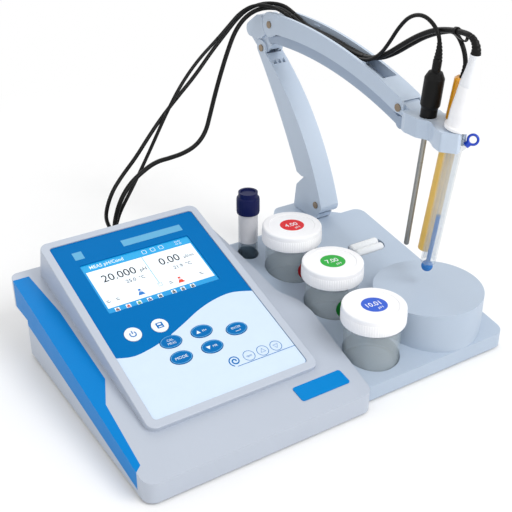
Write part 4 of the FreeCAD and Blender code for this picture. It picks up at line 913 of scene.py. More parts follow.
class Print:
    """Flat printed areas gathered in one mesh, drawn in millimetres on a plane."""

    LAYER = 0.02
    MOST_LAYERS = 8
    FIGURE_SHARE = 0.7

    def __init__(self, name: str, plane: Matrix) -> None:
        """Starts an empty print.

        Args:
            name: The piece's name.
            plane: The plane's own frame, in metres.
        """
        self.name = name
        self.plane = plane
        self.shape = bmesh.new()
        self.looks: list[Look] = []
        self.count = 0

    def _lift(self) -> float:
        """Starts the next layer and returns its height in millimetres."""
        self.count += 1
        return self.LAYER * min(self.count, self.MOST_LAYERS)

    def _corner(self, u: float, w: float, lift: float) -> bmesh.types.BMVert:
        """Adds a point of the plane, in millimetres, to the mesh."""
        return self.shape.verts.new(self.plane @ (Vector((u, w, lift)) * MM))

    def area(self, look: Look, outer: Sequence[Spot],
             holes: Iterable[Sequence[Spot]] = ()) -> None:
        """Prints one area over those before it.

        Args:
            look: Its ink.
            outer: Its outline.
            holes: Outlines left open in it.
        """
        lift = self._lift()
        loops = [[Vector((u, w, 0)) for u, w in loop] for loop in (outer, *holes)]
        flat = [point for loop in loops for point in loop]
        corners = [self._corner(p.x, p.y, lift) for p in flat]
        for triangle in tessellate_polygon(loops):
            a, b, c = (flat[i] for i in triangle)
            if (b - a).cross(c - a).z < 0:
                triangle = tuple(reversed(triangle))
            self._face([corners[i] for i in triangle], look)

    def _face(self, corners: Sequence[bmesh.types.BMVert], look: Look) -> None:
        """Adds one face in a finish, unless it is already there."""
        if look not in self.looks:
            self.looks.append(look)
        try:
            self.shape.faces.new(corners).material_index = self.looks.index(look)
        except ValueError:
            LOG.debug("a face of %s was already there", self.name)

    def stroke(self, look: Look, points: Sequence[Spot], width: float,
               closed: bool = False) -> None:
        """Prints a line of even width.

        Args:
            look: Its ink.
            points: The points that it follows.
            width: Its width.
            closed: Whether it joins its own start.
        """
        lift = self._lift()
        total = len(points)
        sides = []
        for i, (u, w) in enumerate(points):
            before = points[i - 1] if i or closed else points[i]
            after = points[(i + 1) % total] if i + 1 < total or closed else points[i]
            along = Vector((after[0] - before[0], after[1] - before[1])).normalized()
            aside = Vector((-along.y, along.x)) * width / 2
            sides.append([
                self._corner(u + s * aside.x, w + s * aside.y, lift) for s in (-1, 1)])
        for i in range(total if closed else total - 1):
            (a, b), (c, e) = sides[i], sides[(i + 1) % total]
            self._face((a, c, e, b), look)

    def text(self, look: Look, words: str, u: float, w: float, height: float,
             bold: float = 0.0, squeeze: float = 1.0, turn: float = 0.0) -> None:
        """Prints generic figures or a plain word, centred on a point.

        Args:
            look: Its ink.
            words: The figures or the word.
            u: The centre across.
            w: The centre up.
            height: The height of a figure.
            bold: How much the strokes are thickened, as a share of the height.
            squeeze: Its width against the usual width.
            turn: Its turn in degrees.
        """
        lift = self._lift()
        curve = bpy.data.curves.new("figures", "FONT")
        curve.body = words
        curve.size = height / self.FIGURE_SHARE
        curve.offset = bold * height
        curve.resolution_u = 3
        data = curve_mesh(curve)
        xs = [v.co.x for v in data.vertices]
        middle = (min(xs) + max(xs)) / 2
        spin = Matrix.Rotation(math.radians(turn), 4, "Z")
        corners = []
        for v in data.vertices:
            flat = spin @ Vector(((v.co.x - middle) * squeeze, v.co.y - height / 2, 0))
            corners.append(self._corner(u + flat.x, w + flat.y, lift))
        for face in data.polygons:
            self._face([corners[i] for i in face.vertices], look)
        bpy.data.meshes.remove(data)

    def piece(self, body: str, slot: str) -> bpy.types.Object:
        """Ends the print.

        Args:
            body: The body that carries it.
            slot: Not used.

        Returns:
            The printed piece.
        """
        return ride(mesh_object(self.name, self.shape, self.looks), body)


# Cables


Place = tuple[float, float, float]
STAGES = (
    ("console", "console"), ("console", "arm_foot"), ("arm_foot", "lower_arm_body"),
    ("lower_arm_body", "elbow"), ("elbow", "upper_arm_body"),
    ("upper_arm_body", "upper_arm_body"), ("upper_arm_body", "probe_head"),
)
PH_ROUTE = (
    (104, 229, 17.5), (104, 244, 17.5), (103.6, 256, 24), (102.2, 258, 39), (100, 252.5, 56),
    (99.5, 247, 72), (105, 246.5, 88), (117, 251, 99), (131, 254, 106), (146, 258, 110),
    (161, 261, 109), (177, 265, 108.5), (192, 268, 112), (203, 271, 121), (210, 275, 134),
    (217, 278, 150), (225.4, 281, 168), (235, 284.5, 186), (245, 288, 201.5), (257, 289, 212.5),
    (269.5, 285, 218.8), (280.3, 271.5, 220.3), (281.5, 254, 217), (281.5, 243, 213.2),
    (281.5, 232, 211.2), (281.5, 216, 210.8), (281.5, 194, 209.3), (281.5, 172, 206.2),
    (281.5, 153, 205.5), (281.5, 137, 209.5), (281.3, 122, 218), (281.1, 107, 228.5),
    (281, 92, 238), (280.9, 76, 245.5), (280.8, 61, 249), (279.6, 47.5, 250.4),
    (278.2, 37.6, 250.4), (277.8, 31.4, 244.29), (277.8, 32.1, 239.3),
)
COND_ROUTE = (
    (120, 229, 17.5), (120, 244, 17.5), (118.4, 258, 24), (111, 266, 38), (102, 263, 54),
    (95, 256, 69), (93.5, 249, 83), (101, 252, 95.5), (113, 258, 104), (129, 261, 117),
    (143, 265, 130), (158, 271, 141), (176, 276, 154), (199, 281, 170), (220, 287, 187),
    (237, 291, 199.5), (250, 295, 208.5), (263, 296, 216.5), (275.5, 288, 222), (285, 272.5, 222.3),
    (285.7, 255, 217.6), (285.7, 243, 213), (285.7, 232, 210.8), (285.7, 216, 210.5),
    (285.7, 194, 209), (285.7, 172, 205.9), (285.8, 154, 204.8), (286.2, 138, 208),
    (286.6, 122, 216), (287, 106, 227), (287.4, 91, 236.5), (287.8, 76, 243), (288.3, 62, 247),
    (288.6, 49.15, 229), (288.6, 50.96, 216.13),
)
TEMP_ROUTE = (
    (90, 229, 17.5), (90, 242, 17.5), (91, 254, 23), (96, 261.5, 37), (101.5, 257.5, 53),
    (103.5, 252.5, 66), (106, 249.5, 77), (113, 250, 87), (125, 256, 98), (143, 262, 120),
    (163, 268, 147), (181, 274, 167), (202, 280, 184), (225, 286, 197), (240, 290, 206.5),
    (252, 291.5, 215.5), (264, 288, 221.5), (272.5, 275, 222.5), (277.4, 257, 219),
    (277.4, 245, 213.6), (277.4, 233, 211), (277.4, 217, 210.4), (277.4, 195, 208.8),
    (277.4, 173, 205.8), (277.4, 155, 204.4), (277.4, 140, 207.5), (277.2, 128, 216),
    (276.9, 119, 227), (276.7, 110, 240), (276.7, 99, 251), (276.7, 85, 255), (276.7, 72, 250),
    (277, 65.34, 239.98), (277, 66.47, 228.23),
)


@dataclass
class Cable:
    """A sheathed cable from its plug at the back, up over the arm, to its probe."""

    name: str
    diameter: float
    route: Sequence[Place]
    ends: Sequence[Place]
    boots: Spot = (15.0, 13.0)
    flare: float = 1.35
    sleeve: float = 0.25
    groove: float = 0.28

    def line(self) -> list[Vector]:
        """The cable's centreline, read from its smooth spline.

        Returns:
            Points along it, in metres.
        """
        curve = bpy.data.curves.new(self.name + "_line", "CURVE")
        curve.dimensions = "3D"
        curve.resolution_u = 10
        spline = curve.splines.new("NURBS")
        spline.points.add(len(self.route) - 1)
        for control, point in zip(spline.points, self.route):
            control.co = (*bench(*point), 1.0)
        spline.order_u = 3
        spline.use_endpoint_u = True
        data = curve_mesh(curve)
        points = [v.co.copy() for v in data.vertices]
        bpy.data.meshes.remove(data)
        return points

    def boot(self, end: str, line: Sequence[Vector], length: float, body: str) -> None:
        """Makes the tapered, grooved strain relief where the cable meets a housing.

        Args:
            end: A word for the end, used in the piece's name.
            line: The cable's line, from that end.
            length: The relief's length in millimetres.
            body: The body that carries it.
        """
        points = measured(line, 0.0, length, 0.5)
        radii = []
        for i in range(len(points)):
            share = i / (len(points) - 1)
            groove = self.groove if i % 5 in (3, 4) and 0.12 < share < 0.9 else 0.0
            radii.append(self.diameter / 2 + self.flare * (1 - share) + self.sleeve - groove)
        ride(swept(f"{self.name}_{end}_boot", points, radii, Look.HANDLE), body)

    def stretch(self, number: int, part: Sequence[Vector]) -> bpy.types.Object:
        """Makes one stretch of the cable, fixed to its body when both its ends lie on one body and left in
        place otherwise.

        Args:
            number: Its place along the cable, from 0.
            part: The points that it follows, in metres.

        Returns:
            The stretch.
        """
        first, second = STAGES[number]
        piece = swept(f"{self.name}_{number + 1}", part, [self.diameter / 2] * len(part), Look.CABLE)
        if first == second:
            ride(piece, first)
        else:
            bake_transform(piece)
        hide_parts(self.name)
        return piece

    def build(self) -> list[Vector]:
        """Makes the cable and its strain reliefs.

        Returns:
            The cable's line, in metres.
        """
        line = self.line()
        start = 0
        for number in range(len(STAGES)):
            end = len(line) - 1
            if number < len(self.ends):
                target = bench(*self.ends[number])
                end = min(range(start + 1, len(line)), key=lambda i: (line[i] - target).length)
            self.stretch(number, line[start:end + 1])
            start = end
        self.boot("plug", line, self.boots[0], STAGES[0][0])
        self.boot("probe", line[::-1], self.boots[1], STAGES[-1][1])
        return line


@dataclass
class Cables:
    """The three black cables and the tie that holds two of them together."""

    tie_at: Place = (280.2, 54.2, 249.7)
    tie_width: float = 2.6
    tie_strap: float = 0.9

    def tie(self, first: Sequence[Vector], second: Sequence[Vector]) -> None:
        """Makes the looped tie round two cables.

        Args:
            first: The line of the thicker cable, in metres.
            second: The line of the thinner cable.
        """
        spot = bench(*self.tie_at)
        index = min(range(1, len(first) - 1), key=lambda i: (first[i] - spot).length)
        a = first[index]
        b = min(second, key=lambda point: (point - a).length)
        along = (first[index + 1] - first[index - 1]).normalized()
        across = (b - a) - along * (b - a).dot(along)
        reach = across.length
        across.normalize()
        other = along.cross(across)
        shape = bmesh.new()
        rings = []
        for step in range(40):
            turn = 2 * math.pi * step / 40
            far = math.cos(turn) > 0
            centre = a + across * (reach if far else 0.0)
            outward = math.cos(turn) * across + math.sin(turn) * other
            radius = (1.7 if far else 2.0) * MM
            rings.append([
                shape.verts.new(centre + outward * (radius + rise * MM) + along * side * MM)
                for rise, side in (
                    (0.05, -self.tie_width / 2), (self.tie_strap, -self.tie_width / 2),
                    (self.tie_strap, self.tie_width / 2), (0.05, self.tie_width / 2))
            ])
        for here, there in zip(rings, rings[1:] + rings[:1]):
            for k in range(4):
                m = (k + 1) % 4
                shape.faces.new((here[k], there[k], there[m], here[m]))
        bmesh.ops.recalc_face_normals(shape, faces=shape.faces)
        ride(mesh_object("cable_tie", shape, [Look.TIE]), "probe_head")

    def build(self) -> None:
        """Makes the cables and the tie."""
        thick = Cable("ph_cable", 4.0, PH_ROUTE, [
            (99.5, 247, 72), (192, 268, 112), (245, 288, 201.5), (269.5, 285, 218.8),
            (281.5, 254, 217), (281.5, 153, 205.5)]).build()
        thin = Cable("cond_cable", 3.4, COND_ROUTE, [
            (93.5, 249, 83), (176, 276, 154), (250, 295, 208.5), (275.5, 288, 222),
            (285.7, 255, 217.6), (285.8, 154, 204.8)], (15.0, 9.0)).build()
        Cable("temp_cable", 3.0, TEMP_ROUTE, [
            (106, 249.5, 77), (163, 268, 147), (225, 286, 197), (264, 288, 221.5),
            (277.4, 257, 219), (277.4, 155, 204.4)], (15.0, 11.0)).build()
        self.tie(thick, thin)


# Studio


@dataclass
class Studio:
    """The camera, the pale floor and the soft lights."""

    eye: tuple[float, float, float] = (-179.5, -402.1, 422.5)
    right: tuple[float, float, float] = (0.8424, -0.5388, 0.0)
    up: tuple[float, float, float] = (0.2612, 0.4084, 0.8746)
    back: tuple[float, float, float] = (-0.4712, -0.7368, 0.4848)
    lens: float = 65.1
    floor_size: float = 6.0
    shadow_reach: float = 0.3
    fade: float = 0.35
    ambient: float = 0.7

    def camera(self) -> None:
        """Makes the camera at the measured viewpoint."""
        data = bpy.data.cameras.new("camera")
        data.lens = self.lens
        data.sensor_width = 36.0
        data.shift_x = 0.0092
        data.shift_y = 0.0018
        data.clip_start = 0.01
        holder = bpy.data.objects.new("camera", data)
        bpy.context.collection.objects.link(holder)
        turn = Matrix((self.right, self.up, self.back)).transposed().to_4x4()
        holder.matrix_world = Matrix.Translation(bench(*self.eye)) @ turn
        bpy.context.scene.camera = holder

    def floor(self) -> None:
        """Makes the pale floor, white to the camera away from the shadow."""
        shape = bmesh.new()
        bmesh.ops.create_grid(shape, x_segments=8, y_segments=8, size=self.floor_size / 2)
        shader = Shader.named("studio_floor")
        grain = shader.noise(60.0, 2.0)
        near = shader.node(
            "ShaderNodeBsdfDiffuse", {},
            {"Color": shader.tint(grain, (0.93, 0.93, 0.93), (0.95, 0.95, 0.95))})
        far = shader.node(
            "ShaderNodeEmission", {}, {"Color": (1.0, 1.0, 1.0, 1.0), "Strength": 1.0})
        distance = shader.node(
            "ShaderNodeVectorMath", {"operation": "LENGTH"}, {0: shader.place()}, result="Value")
        seen = shader.node("ShaderNodeLightPath", result="Is Camera Ray")
        share = ((distance - self.shadow_reach) / self.fade).clamp() * seen
        both = shader.node("ShaderNodeMixShader", {}, {0: share, 1: near, 2: far})
        shader.node("ShaderNodeOutputMaterial", {}, {"Surface": both})
        data = bpy.data.meshes.new("studio_floor")
        shape.to_mesh(data)
        shape.free()
        data.materials.append(shader.owner)
        holder = bpy.data.objects.new("studio_floor", data)
        bpy.context.collection.objects.link(holder)

    def lights(self) -> None:
        """Makes the soft lights."""
        for name, size, energy, place in (
            ("key_light", 0.9, 15.0, (0.45, -1.15, 1.3)),
            ("fill_light", 1.2, 2.0, (-1.3, -0.2, 0.9)),
            ("rim_light", 0.8, 4.0, (0.2, 1.2, 1.0)),
        ):
            data = bpy.data.lights.new(name, "AREA")
            data.energy = energy
            data.size = size
            holder = bpy.data.objects.new(name, data)
            bpy.context.collection.objects.link(holder)
            holder.location = place
            aim = Vector((0, 0, 0.05)) - Vector(place)
            holder.rotation_euler = aim.to_track_quat("-Z", "Y").to_euler()

    def surroundings(self) -> None:
        """Makes the surroundings: white where they are seen, dimmer as light."""
        world = bpy.data.worlds.new("surroundings")
        bpy.context.scene.world = world
        shader = Shader(world)
        path = shader.node("ShaderNodeLightPath").socket.node
        seen, mirrored, through = (
            Signal(shader, path.outputs[name])
            for name in ("Is Camera Ray", "Is Glossy Ray", "Is Transmission Ray")
        )
        share = (seen + mirrored + through).clamp()
        light = shader.node("ShaderNodeBackground", {}, {
            "Color": (1.0, 1.0, 1.0, 1.0), "Strength": share * (1 - self.ambient) + self.ambient})
        shader.node("ShaderNodeOutputWorld", {}, {"Surface": light})

    def build(self) -> None:
        """Makes the camera, floor and lights."""
        self.camera()
        self.floor()
        self.lights()
        self.surroundings()
        bpy.context.scene.view_settings.view_transform = "Standard"


# The meter's own assemblies


@dataclass
class Console:
    """The console's housing, its sloping deck, film, screen and keys."""

    left: float = 28.3
    front: float = 43.1
    tilt: float = math.radians(16.8)
    width: float = 125.8
    length: float = 179.2
    corner: float = 3.0
    screen: tuple[float, float, float, float] = (14.0, 99.6, 109.0, 153.6)
    screen_drop: float = 1.1
    key_rise: float = 0.35
    oval_room: Spot = (8.85, 6.15)
    wave: tuple[Spot, ...] = (
        (-0.9, 59.4), (12, 55.8), (25.9, 57.3), (41.5, 61.6), (59.1, 68.9), (77.9, 77.3),
        (95.2, 82.1), (110.6, 82.9), (126.6, 78.0))
    round_keys: dict[str, Spot] = field(default_factory=lambda: {
        "key_power": (21.0, 74.5), "key_print": (42.8, 74.5)})
    oval_keys: dict[str, Spot] = field(default_factory=lambda: {
        "key_mode_select": (43.0, 57.3), "key_up": (68.5, 57.3), "key_enter": (94.0, 49.2),
        "key_down": (68.5, 41.2), "key_mode": (43.0, 41.2)})

    def plane(self, rise: float = 0.0) -> Matrix:
        """The deck's own frame, on the film's face.

        Args:
            rise: Millimetres above the face.

        Returns:
            The frame, in metres.
        """
        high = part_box("front_overlay")[1][2] / MM + BENCH_ORIGIN.z
        level = high - self.length * math.sin(self.tilt)
        turn = Matrix.Rotation(self.tilt, 4, "X")
        place = Matrix.Translation(bench(self.left, self.front, level)) @ turn
        return place @ Matrix.Translation((0, 0, rise * MM))

    def edge(self) -> list[Spot]:
        """The wave between blue and pale film, as a smooth line.

        Returns:
            Its points from left to right.
        """
        marks = self.wave
        line = []
        for i in range(len(marks) - 1):
            before = marks[max(i - 1, 0)]
            a, b = marks[i], marks[i + 1]
            after = marks[min(i + 2, len(marks) - 1)]
            for step in range(10):
                t = step / 10
                line.append(tuple(
                    0.5 * (2 * a[k] + (b[k] - before[k]) * t
                           + (2 * before[k] - 5 * a[k] + 4 * b[k] - after[k]) * t * t
                           + (3 * a[k] - before[k] - 3 * b[k] + after[k]) * t ** 3)
                    for k in range(2)))
        line.append(marks[-1])
        return line

    def skirted(self, line: Sequence[Spot], key: Spot
                ) -> list[Spot]:
        """A line led round the lower side of an oval key that lies on it.

        Args:
            line: The line's points, from left to right.
            key: The key's centre.

        Returns:
            The points of the new line.
        """
        u0, w0 = key
        across, tall = self.oval_room

        def turn(point: Spot) -> float:
            """A point's angle round the key."""
            return math.atan2((point[1] - w0) / tall, (point[0] - u0) / across)

        outside = [math.hypot((u - u0) / across, (w - w0) / tall) > 1.0 for u, w in line]
        first, last = outside.index(False), len(line) - outside[::-1].index(False)
        start, end = turn(line[first]), turn(line[last]) + 2 * math.pi
        arc = [start + (end - start) * i / 30 for i in range(31)]
        round_it = [(u0 + across * math.cos(t), w0 + tall * math.sin(t)) for t in arc]
        return line[:first] + round_it + line[last:]

    def film(self) -> None:
        """Prints the pale area below the wave and the bare strip above the screen."""
        edge = 0.2
        left, right = edge, self.width - edge
        wave = [(min(max(u, left), right), w) for u, w in self.edge()]
        wave = self.skirted(wave, self.oval_keys["key_mode_select"])
        corner = outline_box(left, edge, right, 100.0, self.corner)
        lower = [point for point in corner if point[1] < 30]
        pale = Print("film_pale_area", self.plane(0.02))
        keys = [outline_disc(u, w, *self.oval_room) for name, (u, w) in self.oval_keys.items()
                if name != "key_mode_select"]
        first = lower.index(min(lower, key=lambda point: point[0] - point[1]))
        pale.area(Look.FILM_PALE, lower[first:] + lower[:first] + wave[::-1], keys)
        pale.area(Look.FILM_STRIP, outline_box(14.0, 159.8, 21.8, 168.2, 0.2))
        pale.area(Look.FILM_STRIP, outline_box(55.4, 160.6, 108.6, 167.6, 0.2))
        pale.piece("console", "overlay_film")

    def marks(self) -> None:
        """Prints the small stirring marks low on the film."""
        marks = Print("film_marks", self.plane(0.03))
        swirl = [
            (76.8 + (0.7 + 2.35 * t) * math.cos(2 * math.pi * t - 0.5),
             22.7 + (0.7 + 2.35 * t) * math.sin(2 * math.pi * t - 0.5))
            for t in (i / 48 for i in range(85))
        ]
        marks.stroke(Look.INK_BLUE, swirl[:46], 1.2)
        marks.stroke(Look.INK_BLUE, swirl[44:], 0.95)
        for u in (89.0, 100.8, 112.4):
            marks.stroke(Look.INK_BLUE, outline_disc(u, 22.9, 4.5), 0.45, True)
        marks.text(Look.INK_BLUE, "rpm", 89.0, 22.9, 1.9)
        for u, way in ((100.8, 1), (112.4, -1)):
            marks.stroke(Look.INK_BLUE, [
                (u - 2.0, 22.9 - 1.3 * way), (u + 2.0, 22.9 - 1.3 * way), (u, 22.9 + 2.1 * way)],
                0.45, True)
        marks.stroke(Look.INK_BLUE, [(76.1, 17.4), (100, 17.35), (125.6, 17.3)], 0.45)
        marks.piece("console", "overlay_film")

    def lcd(self) -> None:
        """Prints what the screen shows: two bare readings with their small marks."""
        u0, w0, u1, w1 = self.screen
        show = Print("lcd_readings", self.plane(-self.screen_drop + 0.02))
        show.area(Look.LCD_FRAME, outline_box(u0 + 0.2, w0 + 0.2, u1 - 0.2, w1 - 0.2))
        show.area(Look.LCD_TITLE, outline_box(u0 + 0.6, 146.2, u1 - 0.6, w1 - 0.5))
        show.area(Look.LCD_PAGE, outline_box(16.0, 105.2, 107.4, 145.4, 0.3))
        show.text(Look.LCD_PAGE, "MEAS pH/Cond", 35.0, 149.6, 3.4, 0.01, 0.92)
        for u in (67.8, 75.4, 82.8):
            show.stroke(Look.LCD_PAGE, outline_box(u - 1.7, 148.0, u + 1.7, 151.6, 0.5), 0.35, True)
        for look, words, u, w, height, bold, squeeze in (
            (Look.LCD_PAGE, "12:00", 98.0, 151.0, 1.7, 0.0, 1.0),
            (Look.LCD_PAGE, "01-01", 98.0, 148.3, 1.7, 0.0, 1.0),
            (Look.LCD_BLACK, "20.000", 38.6, 134.8, 7.4, 0.004, 1.0),
            (Look.LCD_BLACK, "pH", 58.6, 133.2, 3.6, 0.0, 1.0),
            (Look.LCD_GREY, "25.0", 44.6, 125.6, 3.4, 0.012, 1.0),
            (Look.LCD_GREY, "°C", 54.0, 125.6, 3.2, 0.012, 1.0),
            (Look.LCD_BLACK, "0.00", 82.4, 135.0, 7.4, 0.004, 1.0),
            (Look.LCD_BLACK, "µS/cm", 99.0, 133.4, 3.0, 0.0, 0.85),
            (Look.LCD_GREY, "21.9", 85.4, 125.4, 3.4, 0.012, 1.0),
            (Look.LCD_GREY, "°C", 94.8, 125.4, 3.2, 0.012, 1.0),
        ):
            show.text(look, words, u, w, height, bold, squeeze)
        show.stroke(Look.LCD_TITLE, [(63.2, 145.2), (63.2, 130), (63.2, 114.6)], 0.4)
        show.stroke(Look.LCD_BLUE, outline_box(61.6, 111.4, 64.8, 114.4), 0.35, True)
        for u, look in ((45.7, Look.LCD_BLUE), (80.1, Look.LCD_RED)):
            show.area(look, [(u - 2.9, 108.6), (u + 2.9, 108.6), (u + 1.0, 112.4), (u + 1.0, 114.8),
                             (u - 1.0, 114.8), (u - 1.0, 112.4)])
            show.area(Look.LCD_PAGE, [(u - 1.3, 111.6), (u + 1.3, 111.6), (u + 0.6, 113.0),
                                      (u - 0.6, 113.0)])
        for u in (19.2, 27.0, 72.0, 99.0):
            show.area(Look.LCD_GREY, outline_box(u - 1.5, 110.6, u + 1.5, 111.2))
            show.area(Look.LCD_GREY, outline_box(u - 1.5, 112.2, u + 0.7, 112.8))
        colours = (Look.LCD_DARK_RED, Look.LCD_RED, Look.LCD_GREEN, Look.LCD_NAVY, Look.LCD_BLACK,
                   Look.LCD_BLACK, Look.LCD_BLACK, Look.LCD_BLACK)
        for u, look in zip((22.0, 31.0, 39.9, 48.7, 57.7, 69.3, 77.3, 85.8), colours):
            show.area(Look.LCD_PAGE, outline_box(u - 1.9, 100.2, u + 1.9, 103.9, 0.4))
            show.area(look, outline_box(u - 1.4, 100.5, u + 1.4, 102.6, 0.3))
            show.area(look, outline_box(u - 0.6, 102.5, u + 0.6, 103.6))
        show.piece("console", "screen_glass")

    def key(self, name: str, marks: Print) -> None:
        """Ends a key's print on its own body."""
        marks.piece(f"{name}_body", "key_film")

    def keys(self) -> None:
        """Dresses the keys and prints their plain legends."""
        for name in self.round_keys:
            dress(name, Look.KEY_WHITE)
        for name in self.oval_keys:
            dress(name, Look.KEY_BLUE)
        plane = self.plane(self.key_rise + 0.01)
        u, w = self.round_keys["key_power"]
        marks = Print("legend_power", plane)
        marks.stroke(Look.INK_BLUE, [
            (u + 2.3 * math.sin(math.radians(a)), w + 2.3 * math.cos(math.radians(a)))
            for a in range(38, 323, 12)], 0.85)
        marks.stroke(Look.INK_BLUE, [(u, w + 0.4), (u, w + 3.2)], 0.85)
        self.key("key_power", marks)
        u, w = self.round_keys["key_print"]
        marks = Print("legend_print", plane)
        marks.area(Look.INK_BLUE, outline_box(u - 2.7, w - 2.5, u + 2.7, w + 2.9, 0.5))
        marks.area(Look.KEY_WHITE, outline_box(u - 1.5, w + 0.6, u + 1.5, w + 2.1))
        marks.area(Look.KEY_WHITE, outline_box(u - 1.5, w - 1.7, u + 1.5, w - 0.8))
        self.key("key_print", marks)
        for name, (u, w) in self.oval_keys.items():
            marks = Print("legend_" + name[4:], plane)
            marks.stroke(Look.INK_LIGHT, outline_disc(u, w, 7.9, 5.2), 0.28, True)
            if name == "key_mode_select":
                marks.text(Look.INK_WHITE, "CAL", u, w + 1.6, 2.0)
                marks.text(Look.INK_WHITE, "MEAS", u, w - 1.6, 2.0)
            elif name == "key_mode":
                marks.text(Look.INK_WHITE, "MODE", u, w, 2.5)
            elif name == "key_enter":
                marks.text(Look.INK_WHITE, "ENTER", u, w + 1.2, 1.9)
                marks.stroke(Look.INK_WHITE, [(u + 2.2, w - 1.2), (u + 2.2, w - 2.4),
                                              (u - 2.2, w - 2.4)], 0.4)
            else:
                way = 1 if name == "key_up" else -1
                marks.area(Look.INK_WHITE, [(u - 4.8, w - 1.3 * way), (u - 1.2, w - 1.3 * way),
                                            (u - 3.0, w + 1.8 * way)][::way])
                marks.text(Look.INK_WHITE, "M+" if way > 0 else "MR", u + 2.4, w, 2.0)
            self.key(name, marks)

    def build(self) -> None:
        """Dresses the console and adds what is printed on it."""
        for node, look in {
            "console_cover": Look.HOUSING, "side_trim": Look.TRIM, "console_floor": Look.FLOOR,
            "display_bezel": Look.DECK, "front_overlay": Look.FILM_BLUE,
            "lcd_module": Look.LCD_FRAME, "main_board": Look.BOARD, "name_plate": Look.PLATE,
            "rear_sockets": Look.SOCKETS, "ph_plug": Look.SOCKETS, "cond_plug": Look.RUBBER,
            "temp_plug": Look.RUBBER,
        }.items():
            dress(node, look)
        self.film()
        self.marks()
        self.lcd()
        self.keys()


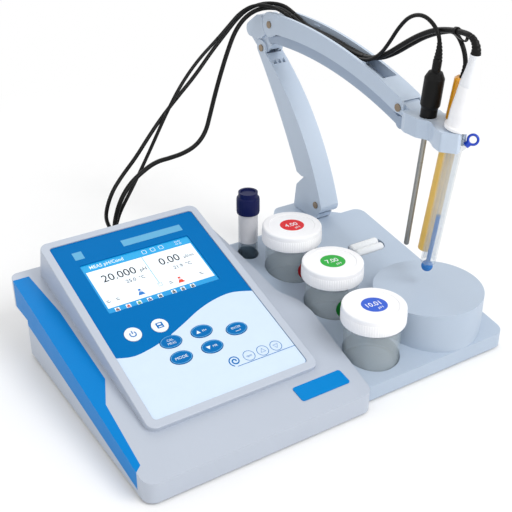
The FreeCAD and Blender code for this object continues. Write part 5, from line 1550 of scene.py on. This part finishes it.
@dataclass
class Tray:
    """The accessory tray with its jars, vial, stir bars and stirrer."""

    jars: dict[str, tuple[float, float, float]] = field(default_factory=lambda: {
        "red": (214.4, 151.7, 25.9), "green": (217.6, 99.5, 15.6), "blue": (211.0, 39.4, 9.0)})
    jar_height: float = 51.0
    jar_radius: float = 21.6
    label_radius: float = 9.0
    label_height: float = 19.0
    cap_radius: float = 24.5
    cap_height: float = 14.0
    sticker_radius: float = 10.0
    words: dict[str, str] = field(default_factory=lambda: {
        "red": "4.00", "green": "7.00", "blue": "10.01"})

    def sticker(self, colour: str, look: Look) -> None:
        """Prints the round label on a cap.

        Args:
            colour: The jar's colour.
            look: The label's ink.
        """
        x, y, z = self.jars[colour]
        top = bench(x, y, z + self.jar_height - 0.6)
        plane = Matrix.Translation(top) @ Matrix.Rotation(math.radians(-6), 4, "Z")
        face = Print(f"sticker_{colour}", plane)
        face.area(look, outline_disc(0, 0, self.sticker_radius))
        face.text(Look.STICKER_INK, self.words[colour], -0.4, 1.0, 5.4, 0.008, 0.84)
        face.text(Look.STICKER_INK, "pH", 2.2, -5.0, 2.8, 0.0)
        face.piece(f"{colour}_cap", f"cap_{colour}_face")

    def ribs(self, colour: str) -> None:
        """Makes the ribbed band low on a cap.

        Args:
            colour: The jar's colour.
        """
        x, y, z = self.jars[colour]
        foot = z + self.jar_height - self.cap_height
        self.band(f"cap_ribs_{colour}", bench(x, y, foot), self.cap_radius, 0.6, 9.4, 84, 0.32,
                  Look.CAP_WHITE, f"{colour}_cap")

    def band(self, name: str, at: Vector, radius: float, low: float, high: float, count: int,
             depth: float, look: Look, body: str) -> None:
        """Makes a band of upright ribs round a cap.

        Args:
            name: The piece's name.
            at: The middle of the cap's foot.
            radius: The cap's radius.
            low: The band's lower edge.
            high: The band's upper edge.
            count: The number of ribs.
            depth: How far the ribs stand out.
            look: The finish.
            body: The body that carries it.
        """
        shape = bmesh.new()
        place = upright(at)
        levels = ((low, 0.0), (low + 0.5, 1.0), (high - 0.5, 1.0), (high, 0.0))
        rings = []
        for step in range(count * 4):
            turn = 2 * math.pi * step / (count * 4)
            rise = (0.0, 0.75, 1.0, 0.75)[step % 4]
            rings.append([
                shape.verts.new(place @ Vector((
                    (radius + 0.02 + depth * rise * share) * math.cos(turn),
                    (radius + 0.02 + depth * rise * share) * math.sin(turn), level)))
                for level, share in levels
            ])
        for here, there in zip(rings, rings[1:] + rings[:1]):
            for k in range(len(levels) - 1):
                shape.faces.new((here[k], there[k], there[k + 1], here[k + 1]))
        ride(smooth(mesh_object(name, shape, [look])), body)

    def label(self, colour: str, look: Look, middle: float) -> None:
        """Makes the round coloured label that curves round a jar.

        Args:
            colour: The jar's colour.
            look: The label's print.
            middle: The angle of its middle, in degrees from the right.
        """
        x, y, z = self.jars[colour]
        place = upright(bench(x, y, z))
        shape = bmesh.new()
        rings = []
        for ring in range(1, 9):
            reach = self.label_radius * ring / 8
            rings.append([
                shape.verts.new(place @ Vector((
                    (self.jar_radius + 0.08) * math.cos(math.radians(middle) + u / self.jar_radius),
                    (self.jar_radius + 0.08) * math.sin(math.radians(middle) + u / self.jar_radius),
                    self.label_height + w)))
                for u, w in outline_disc(0, 0, reach)
            ])
        shape.faces.new(rings[0])
        for here, there in zip(rings, rings[1:]):
            for k, corner in enumerate(here):
                m = (k + 1) % len(here)
                shape.faces.new((corner, there[k], there[m], here[m]))
        ride(smooth(mesh_object(f"label_{colour}", shape, [look])), f"{colour}_bottle")

    def build(self) -> None:
        """Dresses the tray and what stands in it."""
        for node, look in {
            "tray_cover": Look.TRAY, "tray_floor": Look.FLOOR, "rubber_feet": Look.RUBBER,
            "case_screws": Look.SCREW, "stirrer_motor": Look.MOTOR, "foot_plug": Look.RUBBER,
            "magnet_carrier": Look.BOOT_WHITE, "drive_magnets": Look.MAGNET,
            "vial_tube": Look.VIAL, "vial_cap": Look.VIAL_CAP, "stir_bar_1": Look.STIR_BAR,
            "stir_bar_2": Look.STIR_BAR,
        }.items():
            dress(node, look)
        self.label("red", Look.LABEL_RED, -86)
        self.label("green", Look.LABEL_GREEN, -93)
        for colour, sticker in (
            ("red", Look.STICKER_RED), ("green", Look.STICKER_GREEN), ("blue", Look.STICKER_BLUE),
        ):
            dress(f"bottle_{colour}", Look.JAR)
            dress(f"cap_{colour}", Look.CAP_WHITE)
            self.sticker(colour, sticker)
            self.ribs(colour)
        self.band("vial_cap_ribs", bench(191.5, 183.0, 25.0 + 75.0 - 18.8), 9.4, 0.8, 13.2, 36,
                  0.28, Look.VIAL_CAP, "vial_lid")


@dataclass
class Arm:
    """The double-parallelogram arm with its cable trough."""

    def build(self) -> None:
        """Dresses the arm."""
        # The rear and upper links wear the darker arm finish, which paints shade on them for their place
        # inside the arm.
        for node, look in {
            "arm_foot_bracket": Look.ARM, "lower_arm": Look.ARM, "lower_arm_screws": Look.SCREW,
            "rear_link": Look.ARM_PAINTED_SHADE, "elbow_bracket": Look.ARM, "upper_arm_shell": Look.ARM,
            "upper_arm_screws": Look.SCREW, "upper_link": Look.ARM_PAINTED_SHADE,
            "electrode_holder": Look.ARM,
        }.items():
            dress(node, look)


@dataclass
class Probes:
    """The pH electrode, the conductivity electrode and the temperature probe."""

    def build(self) -> None:
        """Dresses the probes."""
        for node, look in {
            "temp_probe_handle": Look.HANDLE, "temp_probe_rod": Look.STEEL,
            "cond_electrode_cap": Look.CAP_AMBER, "cond_electrode_stem": Look.STEM_CREAM,
            "ph_electrode_cap": Look.CAP_WHITE, "ph_electrode_boot": Look.BOOT_WHITE,
            "ph_electrode_body": Look.PROBE_GLASS, "ph_inner_tube": Look.INNER_TUBE,
            "filler_stopper": Look.STOPPER,
        }.items():
            dress(node, look)


def main() -> None:
    """Builds the studio and every assembly of the meter in order."""
    logging.basicConfig(level=logging.INFO, format="%(name)s: %(message)s")
    for assembly in (Studio(), Cables(), Console(), Tray(), Arm(), Probes()):
        LOG.info("building %s", type(assembly).__name__)
        assembly.build()


if __name__ == "__main__":
    main()
